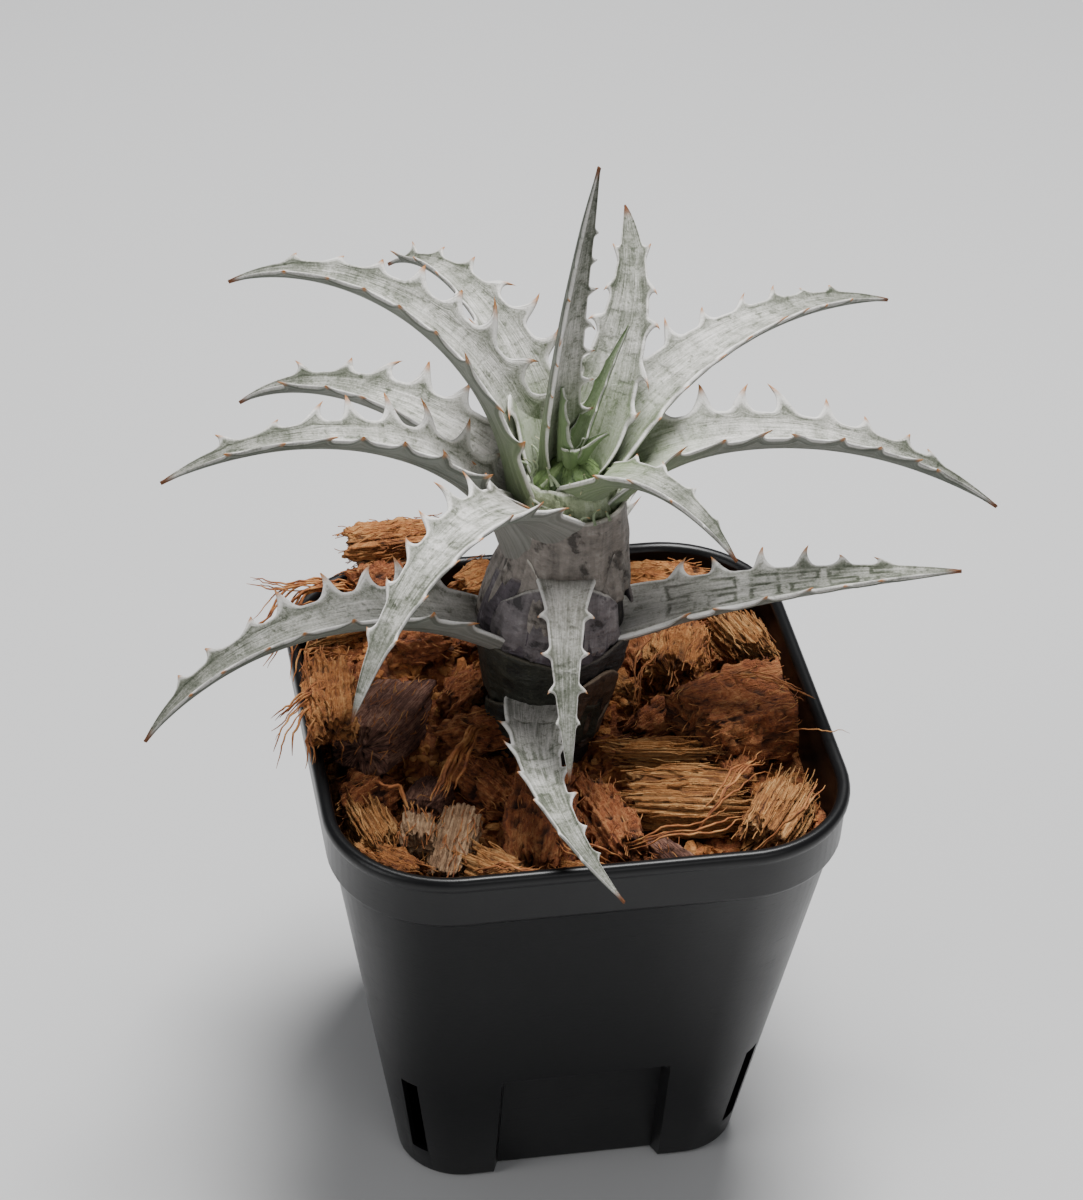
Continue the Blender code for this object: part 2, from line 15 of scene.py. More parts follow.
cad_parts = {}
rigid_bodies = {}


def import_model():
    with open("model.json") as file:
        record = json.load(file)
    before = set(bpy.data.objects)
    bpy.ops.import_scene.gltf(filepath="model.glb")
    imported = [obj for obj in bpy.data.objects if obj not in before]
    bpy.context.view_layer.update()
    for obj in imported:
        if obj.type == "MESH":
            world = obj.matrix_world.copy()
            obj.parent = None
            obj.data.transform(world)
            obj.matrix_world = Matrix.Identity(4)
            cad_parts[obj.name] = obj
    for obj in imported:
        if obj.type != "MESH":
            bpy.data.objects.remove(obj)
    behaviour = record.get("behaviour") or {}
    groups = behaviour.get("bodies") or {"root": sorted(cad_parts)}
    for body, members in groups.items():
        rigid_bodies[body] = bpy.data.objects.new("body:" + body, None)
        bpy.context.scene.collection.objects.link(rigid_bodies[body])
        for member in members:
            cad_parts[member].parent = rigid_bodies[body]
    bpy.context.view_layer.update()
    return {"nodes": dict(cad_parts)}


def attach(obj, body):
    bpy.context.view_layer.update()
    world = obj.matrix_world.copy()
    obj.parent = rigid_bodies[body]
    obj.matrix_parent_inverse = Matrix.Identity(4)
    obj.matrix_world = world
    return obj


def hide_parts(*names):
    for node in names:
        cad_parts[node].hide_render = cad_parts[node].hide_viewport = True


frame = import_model()

MM = 0.001

# The leaves, from the foot to the heart, with the sizes of the solids they cover
Leaf = namedtuple(
    "Leaf", "name azimuth sweep seat_radius seat_height rise droop bend length width tooth seed")

LEAVES = (
    Leaf("leaf_01_front_low", -108, 47.5, 12.2, 86.5, 11, -13, 1.2, 52.9, 11, 3.0, 1),
    Leaf("leaf_02_left_low", 195.5, 0, 13.4, 98.0, 31, -52.2, 1.35, 68.2, 13, 4.2, 2),
    Leaf("leaf_03_right_low", -9.7, 0, 13.2, 98.0, 19, 3.9, 0.9, 56.8, 14, 3.6, 3),
    Leaf("leaf_04_back_low", 60.1, 0, 12.9, 103.0, 15, -39.1, 1.0, 49.8, 11, 3.4, 4),
    Leaf("leaf_05_front_hooked", -101, 8, 11.6, 111.7, 20, -53.8, 0.28, 34.4, 7.8, 2.6, 5),
    Leaf("leaf_06_back_left", 93.9, 0, 11.1, 111.0, 12, -29.7, 1.0, 52.9, 11, 3.6, 6),
    Leaf("leaf_07_left", 186.2, 0, 10.7, 116.6, 72, -24.5, 0.8, 68.9, 12, 4.6, 7),
    Leaf("leaf_08_front_left", 227.5, 1, 9.6, 121.4, 58, -60.1, 0.86, 65.6, 13, 4.0, 8),
    Leaf("leaf_09_left_back", 145.8, -2, 9.9, 120.5, 34, -42, 1.3, 57.3, 13, 4.4, 9),
    Leaf("leaf_10_right", 3, -3, 9.1, 123.8, 54, -39.3, 0.45, 73.3, 12, 4.6, 10),
    Leaf("leaf_11_upper_left", 152, 2, 9.0, 124.2, 80, -29.8, 1.1, 68.5, 14, 4.0, 11),
    Leaf("leaf_12_upper_right", 33.1, -5, 7.7, 126.6, 56, -23.3, 0.55, 71.4, 13, 4.0, 12),
    Leaf("leaf_13_upper_back", 113.9, 0, 7.6, 126.8, 68, -40.7, 0.95, 59.1, 12, 4.4, 13),
    Leaf("leaf_14_front_right", -58.1, 0, 6.7, 127.4, 60, -33.4, 0.72, 36.4, 9, 2.6, 14),
    Leaf("leaf_15_inner_back", 44.6, 48, 6.2, 128.2, 68, 24.7, 0.65, 44.7, 13, 3.6, 15),
    Leaf("leaf_16_inner_tall", 122, 0, 4.6, 129.0, 94, 102, 1.0, 58.6, 8, 2.2, 16),
)

YOUNG_LEAVES = (
    Leaf("young_right", 40, 0, 1.6, 129.2, 66, 50, 1.0, 24, 3.4, 0.9, 31),
    Leaf("young_left", 176, 0, 1.4, 129.2, 86, 90, 1.0, 15, 3.2, 0.9, 32),
    Leaf("young_front", -105, 0, 1.6, 129.0, 74, 40, 1.0, 7, 3.2, 1.0, 33),
    Leaf("young_side", -15, 0, 1.6, 129.0, 70, 40, 1.0, 8, 3.2, 1.0, 34),
)

# How a leaf narrows, flares at its base, folds up at its sides and shows the print of the bud,
# then the size of its teeth and the width of their foot
Form = namedtuple("Form", "taper flare channel print tooth foot")

USUAL = Form(0.80, 0.30, 0.62, 0.25, 1.0, 0.86)
FORMS = {
    "leaf_01_front_low": Form(0.95, 0.20, 0.30, 0.6, 0.80, 0.62),
    "leaf_03_right_low": Form(0.80, 0.15, 0.16, 1.0, 1.05, 0.80),
    "leaf_05_front_hooked": Form(0.80, 0.34, 0.20, 0.5, 0.85, 0.46),
    "leaf_08_front_left": Form(0.80, 0.42, 0.30, 0.5, 1.0, 0.80),
    "leaf_12_upper_right": Form(0.74, 0.30, 0.36, 0.3, 0.90, 0.72),
    "leaf_13_upper_back": Form(0.95, 0.30, 0.55, 0.25, 1.0, 0.82),
    "leaf_14_front_right": Form(0.90, 0.50, 0.30, 0.2, 0.80, 0.66),
    "leaf_15_inner_back": Form(0.74, 0.20, 0.36, 0.3, 0.90, 0.66),
    "leaf_16_inner_tall": Form(0.80, 0.20, 0.50, 0.2, 1.0, 0.50),
}
YOUNG = Form(0.7, 0.2, 0.9, 0.0, 1.0, 0.8)

# The dressed blade ends this much before its solid's tip
TIP_GAP = 0.08

# Teeth: their spacing, the width of their foot, and how much they outgrow the solid's teeth
TOOTH_PITCH = 6.8
TOOTH_FOOT = 6.8
TOOTH_GROWTH = 1.24
TOOTH_THICKNESS = 0.42
FIRST_TOOTH = 0.07
LAST_TOOTH = 0.88

# Blades: how thick they are, how deep they root in the stem, and how finely they are cut
LEAF_THICKNESS = 2.1
MARGIN_THICKNESS = 0.8
ROOT_DEPTH = 4.0
YOUNG_ROOT_DEPTH = 0.5
FULL_WIDTH = 9.0
FULL_THICKNESS_WIDTH = 7.0
MIDLINE_POINTS = 201
BLADE_RING = 40
STATIONS_PER_MM = 4.4

# Leaves seated above this height are green at their base, and the others are mauve there
INNER_SEAT = 123.0

# The stem's leaning centre line, its radius by height, and the top of its core
STEM_LOW = (-2.8, 4.0, 76.0)
STEM_HIGH = (0.7, 5.0, 112.0)
STEM_PROFILE = ((56.0, 3.0), (62.0, 7.4), (70.0, 10.0), (78.0, 10.4), (86.0, 11.2), (93.0, 12.4),
                (99.0, 12.6), (105.0, 11.4), (112.0, 9.4), (119.0, 8.6), (123.0, 8.2), (126.0, 7.4),
                (128.0, 6.0), (129.3, 3.6))
CORE_TOP = 122.0

# The swollen side of the lower stem: its turn, height, spread in degrees and in height, and how
# far it swells
BULGE = (212.0, 103.5, 42.0, 8.0, 2.6)

# A sheath's edge is this thick, with a hollow this deep behind it
SHEATH_LIP = 0.4
SHEATH_POCKET = 4.0
SHEATH_STATIONS = 89
SHEATH_PROFILE = 16

# Clasping leaf bases, from the heart down
Sheath = namedtuple("Sheath", "name azimuth top sweep fall lean reach proud skin seed")

SHEATHS = (
    Sheath("cup_front", -80, 127.6, 150, 1.0, 0.6, 8, 0.9, "cup", 1),
    Sheath("cup_left", 150, 127.2, 100, 3, 0, 8, 1.3, "cup", 2),
    Sheath("cup_right", 34, 127.0, 90, 4, 0, 8, 1.5, "cup", 3),
    Sheath("front_left", 250, 123.4, 118, 0.8, 1.0, 15, 2.3, "pale", 4),
    Sheath("left_back", 147, 121.5, 80, 8, 0, 12, 1.1, "pale", 5),
    Sheath("right", 12, 123.6, 78, 15, 0, 18, 1.3, "pale", 6),
    Sheath("left", 190, 117.8, 76, 16, 0, 18, 1.5, "pale", 7),
    Sheath("back_left", 96, 112.0, 75, 10, 0, 13, 1.4, "mauve", 8),
    Sheath("front_hooked", -101, 111.8, 60, 8, 0, 14, 1.5, "mauve", 9),
    Sheath("bulb", 218, 111.0, 90, 7, 1.5, 15, 1.0, "bulb", 10),
    Sheath("back", 62, 104.0, 80, 9, 0, 14, 1.3, "bulb", 11),
    # The low sheaths with the olive and dark skins are coloured near black as painted shade under
    # the leaves
    Sheath("right_low", -10, 98.6, 90, 8, -2.5, 16, 0.9, "dark", 12),
    Sheath("left_low", 195, 98.6, 95, 8, 2.0, 14, 1.0, "olive_shaded", 13),
    Sheath("old_front", -58, 93.5, 46, 14, -1.5, 14, 1.2, "old", 14),
    Sheath("front_low", -108, 87.2, 70, 4, 1.0, 10, 1.1, "olive_shaded", 15),
    Sheath("old_foot", 40, 88.0, 100, 9, 2.5, 12, 1.0, "old", 16),
)

# The pot: its outer sizes, with a collar that steps out over a tapering wall
POT_HEIGHT = 82.5
COLLAR_HEIGHT = 10.0
COLLAR_STEP = 2.0
STEP_HEIGHT = POT_HEIGHT - COLLAR_HEIGHT
RIM_HALF = 45.0
RIM_CORNER = 21.0
BASE_HALF = 30.5
BASE_CORNER = 11.0
POT_WALL = 1.2
FLOOR_TOP = 2.4

# Each side's pressed-in panel, and the drain slot in each corner
RECESS_HALF_WIDTH = 15.0
RECESS_HEIGHT = 27.0
RECESS_DEPTH = 2.4
SLOT_WIDTH = 3.4
SLOT_BOTTOM = 6.0
SLOT_TOP = 25.0
SLOT_REACH = (25.0, 60.0)

# The collar's section: height over the step or under the rim, and how far in from the rim's edge
COLLAR_FOOT = ((-0.3, 1.1), (0.3, 0.85))
COLLAR_LIP = (
    (2.9, 0.55), (2.3, 0.3), (1.8, 0.05), (1.2, 0.0), (0.6, 0.12), (0.15, 0.5), (0.0, 0.95),
    (0.1, 1.5), (0.5, 2.1), (1.1, 2.3), (2.0, 1.9))

# The room inside the wall, below the collar's step
INNER_HALF = RIM_HALF - 2.9
INNER_CORNER = RIM_CORNER - 3.4

# What lies lower than these is held inside the wall: chips, crumbs and threads, and loose strands
HOLD_BELOW = POT_HEIGHT + 0.4
HOLD_STRANDS_BELOW = POT_HEIGHT - 1.5

# The mix, and its mound at the back left: x, y, spread and rise
MIX_LEVEL = 73.5
MIX_BOTTOM = 2.7
MIX_INSET = 1.9
MOUND = (-22.0, 30.0, 24.0, 9.0)
BED_LEVELS = 44

Chip = namedtuple("Chip", "name x y z length width height heading tilt seed finish")

CHIPS = (
    Chip("husk_smooth_left", -31, 3, 78, 22, 15, 11, 62, 14, 51, "purple"),
    Chip("husk_mass_left", -39, 15, 76, 15, 12, 10, 80, 6, 52, "red"),
    Chip("husk_front_red", -8, -24, 74, 22, 13, 11, 75, -8, 53, "red"),
    Chip("husk_curved_front", 4, -25, 74, 20, 8, 11, 100, 6, 54, "red"),
    Chip("husk_crumbly_right", 33, -2, 77, 24, 18, 13, 20, 8, 55, "red"),
    Chip("husk_back_right", 28, 37, 77, 22, 13, 9, -12, 5, 56, "orange"),
    Chip("husk_back_middle", 4, 36, 77, 19, 12, 9, 15, -6, 57, "red"),
    Chip("husk_round_left_back", -25, 37, 82, 14, 12, 10, 30, 10, 58, "red"),
    Chip("husk_left_corner", -36, -12, 73, 12, 10, 9, 40, 0, 59, "red"),
    Chip("husk_behind_stem", -8, 26, 77, 16, 11, 9, 50, 6, 60, "red"),
    Chip("husk_right_of_stem", 24, 16, 77, 15, 12, 11, 70, 10, 61, "orange"),
    Chip("husk_front_of_stem", -14, -12, 73, 14, 9, 8, 120, 0, 62, "red"),
    Chip("husk_chip_back_left", -24, 44, 87.9, 15, 9, 4, 4, 0, 71, "orange"),
    Chip("husk_chip_front_right", 33, -27, 75, 18, 11, 8, 60, 10, 72, "straw"),
    Chip("husk_chip_front_layered", 18, -22, 75.5, 17, 13, 9, -4, 6, 73, "straw"),
    Chip("husk_chip_front_pale", -23, -27, 74.5, 15, 8, 8, 70, -6, 74, "pale"),
    Chip("husk_chip_front_striped", -36, -22, 75, 12, 7, 8, 100, 8, 75, "straw"),
    Chip("husk_chip_right_straw", 36, 18, 78.6, 13, 9, 8, 100, 12, 76, "straw"),
    Chip("husk_chip_by_stem", 16, -9.5, 76.5, 13, 5, 5, -8, 0, 77, "straw"),
    Chip("husk_chip_left_clump", -40, 1, 85.9, 18, 9, 6, 86, 0, 78, "orange"),
)

# Small pieces that lie on the bed between the chips above
SMALL_CHIPS = (
    Chip("husk_small_tan", -29, -25, 75.6, 7.5, 6.5, 9.5, 80, 12, 81, "pale"),
    Chip("husk_thin_slab", -23, 41, 84.9, 14, 7, 2.6, 12, 5, 82, "pale"),
)

# Loose strands: where each lies, how thick it is, and how many lie together
Strand = namedtuple("Strand", "points thickness count spread")

STRANDS = (
    Strand(((-31, 38, 81), (-38, 33, 88), (-46, 29, 87.5), (-52, 23.5, 84)), 0.42, 9, 2.2),
    Strand(((-31, 36, 81), (-39, 32, 89), (-45, 33, 88.5), (-50, 38, 87)), 0.34, 5, 1.8),
    Strand(((-33, 34, 81), (-40, 27.5, 87.5), (-46, 20.5, 86), (-50, 17, 83)), 0.34, 8, 2.6),
    Strand(((-36, 6, 85), (-43, 1, 88), (-48, -1.5, 86.5), (-51, -3, 84)), 0.36, 6, 1.8),
    Strand(((-39, 4, 86), (-43.5, -4, 87), (-47, -11, 86), (-48.5, -16, 82.5)), 0.34, 8, 2.0),
    Strand(((-44, 8, 85), (-42, 14, 88), (-38, 18, 86), (-34, 22, 82)), 0.30, 9, 2.6),
    Strand(((36, -10, 80), (42, -16, 84.4), (46, -18.5, 85), (50.5, -19, 84.5)), 0.16, 1, 0.4),
    Strand(((24, -38, 75.5), (31, -37, 82), (36, -36, 85), (40, -31, 86)), 0.32, 2, 1.2),
    Strand(((-14, -2, 80), (-18, -8, 82), (-22, -14, 81.5), (-26, -21, 79)), 0.55, 10, 1.1),
    Strand(((-30, -21, 79), (-31, -17, 82), (-34, -16, 82.5), (-35, -11, 79)), 0.55, 2, 0.6),
    Strand(((14, 2, 77), (15, 6, 82), (18, 12, 84), (22, 18, 82)), 0.26, 4, 1.4),
    Strand(((5, -35, 78), (11, -36, 81), (18, -35, 81), (25, -30, 79)), 0.30, 5, 1.8),
    Strand(((-21, -37, 78), (-17, -40, 81.5), (-14, -41, 81.5), (-9, -39, 79)), 0.30, 5, 1.6),
    Strand(((-6, -30, 78), (-4, -36, 81), (0, -40, 81), (4, -40, 78)), 0.30, 6, 2.0),
    Strand(((28, 3, 83), (33, -2, 85.5), (38, -5, 85.5), (43, -8, 84)), 0.24, 4, 1.6),
    Strand(((18, -29, 76), (24, -26, 82), (30, -21, 83), (35, -16, 81)), 0.34, 5, 1.6),
)

STRAND_SEED = 41
STRAND_TWIST = 3.4

# A rough chip is drawn with this many sides and stations, as its solid is
CHIP_SIDES = 9
CHIP_STATIONS = 4

# Smaller chips are drawn at random between the large ones
FILLER_SEED = 17
FILLER_TRIES = 900
FILLER_REACH = 38.0
FILLER_CORNER = 66.0
FILLER_FINISHES = ("red", "orange", "red", "straw", "purple", "red", "orange")
FILLER_NAME = "husk_filler"

# Crumbs over the bed, in metres
CRUMBS = {"Count Per Area": 190000.0, "Size": 0.0014, "Lowest": 0.0695, "Seed": 4}

# The section of one strand of a chip: a groove, then the strand's back
GROOVE = (-1.0, 0.25, 0.6, 0.25)

# How deep a chip's strands, its crumbling and its frayed ends are, by finish
Texture = namedtuple("Texture", "strand crumb fray")

TEXTURES = {
    "red": Texture(0.40, 1.30, 1.2), "orange": Texture(0.6, 1.00, 1.4),
    "straw": Texture(1.0, 0.35, 2.6), "pale": Texture(0.6, 0.45, 1.0),
    "purple": Texture(0.30, 0.30, 0.6)}

# The heart: its radius by height, the soft teeth in it, and the teeth on the sheath's rim below it
HEART_PROFILE = (
    (120.0, 8.0), (123.0, 7.4), (125.5, 6.2), (127.5, 4.8), (129.0, 3.2), (129.7, 1.8),
    (129.9, 0.3))
HEART_SIDES = 64
HEART_SEED = 5
SOFT_TEETH = 22
RIM_TEETH = (-136, -122, -107, -92, -76, -60)
RIM_TEETH_RADIUS = 10.5
RIM_TEETH_HEIGHT = 123.0

# Colours of the leaves, from bare skin to a full coat of scales
COAT = (
    (0.0, (0.065, 0.075, 0.048)), (0.28, (0.175, 0.185, 0.145)), (0.52, (0.385, 0.385, 0.34)),
    (0.74, (0.61, 0.595, 0.555)), (1.0, (0.80, 0.78, 0.745)))
UNDER_DARK = (0.085, 0.098, 0.075)
UNDER_PALE = (0.26, 0.275, 0.24)
INNER_GREEN = (0.22, 0.30, 0.135)
OUTER_MAUVE = (0.33, 0.29, 0.275)
YOUNG_GREEN = (0.22, 0.34, 0.13)
DRY_TIP = (0.20, 0.075, 0.028)
TOOTH_RUST = (0.50, 0.20, 0.05)
YOUNG_TIP = (0.58, 0.52, 0.32)
RIM_TOOTH_TIP = (0.60, 0.27, 0.08)

# Colours of the sheaths and of the heart's cup
Skin = namedtuple("Skin", "name dark middle pale edge")

SKINS = {
    "cup": Skin("pale green cup", (0.10, 0.13, 0.06), (0.34, 0.39, 0.24), (0.60, 0.63, 0.50),
                (0.72, 0.72, 0.62)),
    "pale": Skin("pale mauve sheath", (0.060, 0.050, 0.042), (0.27, 0.235, 0.205),
                 (0.53, 0.49, 0.44), (0.70, 0.66, 0.58)),
    "mauve": Skin("mauve sheath", (0.040, 0.034, 0.036), (0.20, 0.175, 0.18), (0.46, 0.43, 0.42),
                  (0.58, 0.55, 0.50)),
    "bulb": Skin("purple brown sheath", (0.020, 0.015, 0.018), (0.10, 0.082, 0.095),
                 (0.42, 0.39, 0.41), (0.26, 0.22, 0.20)),
    # The olive and dark skins are near black: the old sheaths' own olive and dark colour, deepened
    # as painted shade under the lower leaves
    "olive_shaded": Skin("olive sheath", (0.008, 0.008, 0.006), (0.030, 0.031, 0.021),
                  (0.10, 0.095, 0.065), (0.11, 0.095, 0.065)),
    "dark": Skin("dark sheath", (0.006, 0.005, 0.005), (0.026, 0.022, 0.021),
                 (0.10, 0.085, 0.075), (0.12, 0.10, 0.08)),
    "old": Skin("old brown sheath", (0.015, 0.009, 0.006), (0.085, 0.052, 0.034),
                (0.24, 0.17, 0.12), (0.30, 0.22, 0.15)),
    "heart": Skin("heart green", (0.05, 0.09, 0.025), (0.15, 0.23, 0.075), (0.34, 0.43, 0.21),
                  (0.5, 0.6, 0.35)),
}

# Colours of the husk, and how stringy it looks
Husk = namedtuple("Husk", "name dark middle light thready")

HUSKS = {
    "red": Husk("red brown husk", (0.065, 0.015, 0.006), (0.31, 0.090, 0.028),
                (0.62, 0.29, 0.11), 0.6),
    "orange": Husk("orange husk", (0.11, 0.028, 0.008), (0.45, 0.165, 0.045),
                   (0.76, 0.42, 0.16), 0.8),
    "straw": Husk("straw husk", (0.11, 0.032, 0.009), (0.43, 0.175, 0.048),
                  (0.80, 0.48, 0.20), 1.2),
    "pale": Husk("pale husk", (0.10, 0.048, 0.024), (0.37, 0.215, 0.115),
                 (0.70, 0.49, 0.30), 0.7),
    "purple": Husk("smooth husk skin", (0.036, 0.012, 0.009), (0.16, 0.066, 0.043),
                   (0.46, 0.25, 0.165), 1.3),
}

# The photograph's camera: its focal length and height in pixels, and where it stands and points
FOCAL_PIXELS = 3659.0
PHOTO_HEIGHT = 1200.0
SENSOR = 36.0
CAMERA_PLACE = (-103.62, -488.17, 473.28)
CAMERA_RIGHT = (0.98389, -0.17582, 0.03226)
CAMERA_UP = (0.07917, 0.59041, 0.80321)

# The stage, in metres
FLOOR_REACH = 4.0
FLOOR_GREY = (0.60, 0.60, 0.60, 1.0)
SKY = (0.86, 0.88, 0.92, 1.0)
SKY_STRENGTH = 0.22
Light = namedtuple("Light", "name place aim size power")

LIGHTS = (
    Light("top softbox", (0.10, 0.20, 0.85), (0.0, 0.0, 0.1), (0.34, 0.34), 13.0),
    Light("left fill", (-0.8, -0.3, 0.5), (0.0, 0.0, 0.1), (0.4, 0.6), 2.2),
    Light("front fill", (0.3, -0.9, 0.5), (0.0, 0.0, 0.08), (0.6, 0.4), 1.4),
)


class Value:
    """A node's socket that takes part in arithmetic."""

    def __init__(self, graph, socket):
        self.graph = graph
        self.socket = socket

    def math(self, operation, *others):
        return self.graph.node("ShaderNodeMath", {"operation": operation}, self, *others)

    def __add__(self, other):
        return self.math("ADD", other)

    __radd__ = __add__

    def __sub__(self, other):
        return self.math("SUBTRACT", other)

    def __rsub__(self, other):
        return self.graph.node("ShaderNodeMath", {"operation": "SUBTRACT"}, other, self)

    def __mul__(self, other):
        return self.math("MULTIPLY", other)

    __rmul__ = __mul__

    def __truediv__(self, other):
        return self.math("DIVIDE", other)

    def __pow__(self, other):
        return self.math("POWER", other)

    def __abs__(self):
        return self.math("ABSOLUTE")

    def least(self, limit):
        """The value, held at or above a limit."""
        return self.math("MAXIMUM", limit)

    def most(self, limit):
        """The value, held at or below a limit."""
        return self.math("MINIMUM", limit)

    def cosine(self):
        return self.math("COSINE")

    def sine(self):
        return self.math("SINE")

    def sign(self):
        return self.math("SIGN")

    def ramp(self, low, high):
        """0 below low, 1 above high, and a smooth rise between them."""
        return self.graph.node("ShaderNodeMapRange", {"interpolation_type": "SMOOTHSTEP"},
                               self, low, high, 0.0, 1.0)


class Graph:
    """Makes the nodes of one tree."""

    def __init__(self, tree):
        self.tree = tree

    def node(self, kind, settings=None, *values, **named):
        """One node: its settings, then its sockets by order or by name.

        It gives the output that the settings name, or else the first shown one.
        """
        made = self.tree.nodes.new(kind)
        settings = dict(settings or {})
        output = settings.pop("output", None)
        stops = settings.pop("stops", None)
        for key, value in settings.items():
            setattr(made, key, value)
        if stops:
            self.set_stops(made.color_ramp, stops)
        sockets = [socket for socket in made.inputs if socket.enabled]
        for socket, value in zip(sockets, values):
            self.feed(socket, value)
        for name, value in named.items():
            label = name.replace("_", " ")
            self.feed(next(socket for socket in sockets if socket.name == label), value)
        shown = [socket for socket in made.outputs if socket.enabled]
        if output is None:
            return Value(self, shown[0]) if shown else None
        return Value(self, next(socket for socket in shown if socket.name == output))

    def feed(self, socket, value):
        """Link a value, or set a number on the socket."""
        if isinstance(value, Value):
            self.tree.links.new(value.socket, socket)
        else:
            socket.default_value = value

    def set_stops(self, band, stops):
        """Colour stops of a ramp."""
        while len(band.elements) > 1:
            band.elements.remove(band.elements[-1])
        for index, (place, colour) in enumerate(stops):
            stop = band.elements[0] if index == 0 else band.elements.new(place)
            stop.position = place
            stop.color = (*colour, 1.0)

    def vector(self, operation, *values):
        """Vector maths."""
        return self.node("ShaderNodeVectorMath", {"operation": operation}, *values)

    def move(self, place, direction, reach):
        """A place moved along a direction."""
        return self.vector("ADD", place, self.vector("SCALE", direction, reach))

    def combine(self, x, y, z):
        """A vector from three numbers."""
        return self.node("ShaderNodeCombineXYZ", {}, x, y, z)

    def split(self, vector):
        """The three numbers of a vector."""
        made = self.tree.nodes.new("ShaderNodeSeparateXYZ")
        self.feed(made.inputs[0], vector)
        return [Value(self, socket) for socket in made.outputs]

    def drawn(self, low, high, seed):
        """A random number or vector between two others, for each point."""
        kind = "FLOAT_VECTOR" if isinstance(low, tuple) else "FLOAT"
        return self.node("FunctionNodeRandomValue", {"data_type": kind}, low, high, Seed=seed)

    def stored(self, label, kind="FLOAT"):
        """What the geometry has stored under a name."""
        return self.node("GeometryNodeInputNamedAttribute", {"data_type": kind}, label)

    def store(self, geometry, label, value):
        """Store a number on the geometry's points."""
        settings = {"data_type": "FLOAT", "domain": "POINT"}
        return self.node("GeometryNodeStoreNamedAttribute", settings, geometry, True, label, value)

    def on_faces(self, surface, number, seed, chosen=True):
        """Points drawn on the chosen faces of a surface, by number per square metre."""
        settings = {"distribute_method": "RANDOM", "output": "Points"}
        return self.node("GeometryNodeDistributePointsOnFaces", settings, surface, chosen,
                         Density=number, Seed=seed)

    def blend(self, share, first, second):
        """Mix two colours."""
        made = self.tree.nodes.new("ShaderNodeMix")
        made.data_type = "RGBA"
        for index, value in ((0, share), (6, first), (7, second)):
            if isinstance(value, tuple):
                value = (*value, 1.0)
            self.feed(made.inputs[index], value)
        return Value(self, made.outputs[2])

    def grain(self, place, scale, detail, roughness):
        """A noise pattern."""
        made = self.tree.nodes.new("ShaderNodeTexNoise")
        self.feed(made.inputs["Vector"], place)
        self.feed(made.inputs["Scale"], scale)
        self.feed(made.inputs["Detail"], detail)
        self.feed(made.inputs["Roughness"], roughness)
        return Value(self, made.outputs[0])


# Finishes

class Finish(Graph):
    """A material whose main shader takes patterns on its colour, roughness and bump."""

    def __init__(self, name):
        self.material = bpy.data.materials.new(name)
        self.material.use_nodes = True
        super().__init__(self.material.node_tree)
        self.shader = self.tree.nodes["Principled BSDF"]

    def set(self, **values):
        """Feed the shader's sockets."""
        for name, value in values.items():
            self.feed(self.shader.inputs[name.replace("_", " ")], value)

    def place(self):
        """Object coordinates, in millimetres."""
        coordinates = self.node("ShaderNodeTexCoord", {"output": "Object"})
        return self.vector("MULTIPLY", coordinates, (1.0 / MM,) * 3)

    def attribute(self, name):
        """A number stored on the mesh."""
        return self.node("ShaderNodeAttribute", {"attribute_name": name, "output": "Fac"})

    def bump(self, height, distance, strength):
        """Relief of a height pattern, with distance in metres."""
        self.set(Normal=self.node("ShaderNodeBump", {}, Strength=strength, Distance=distance,
                                  Height=height))


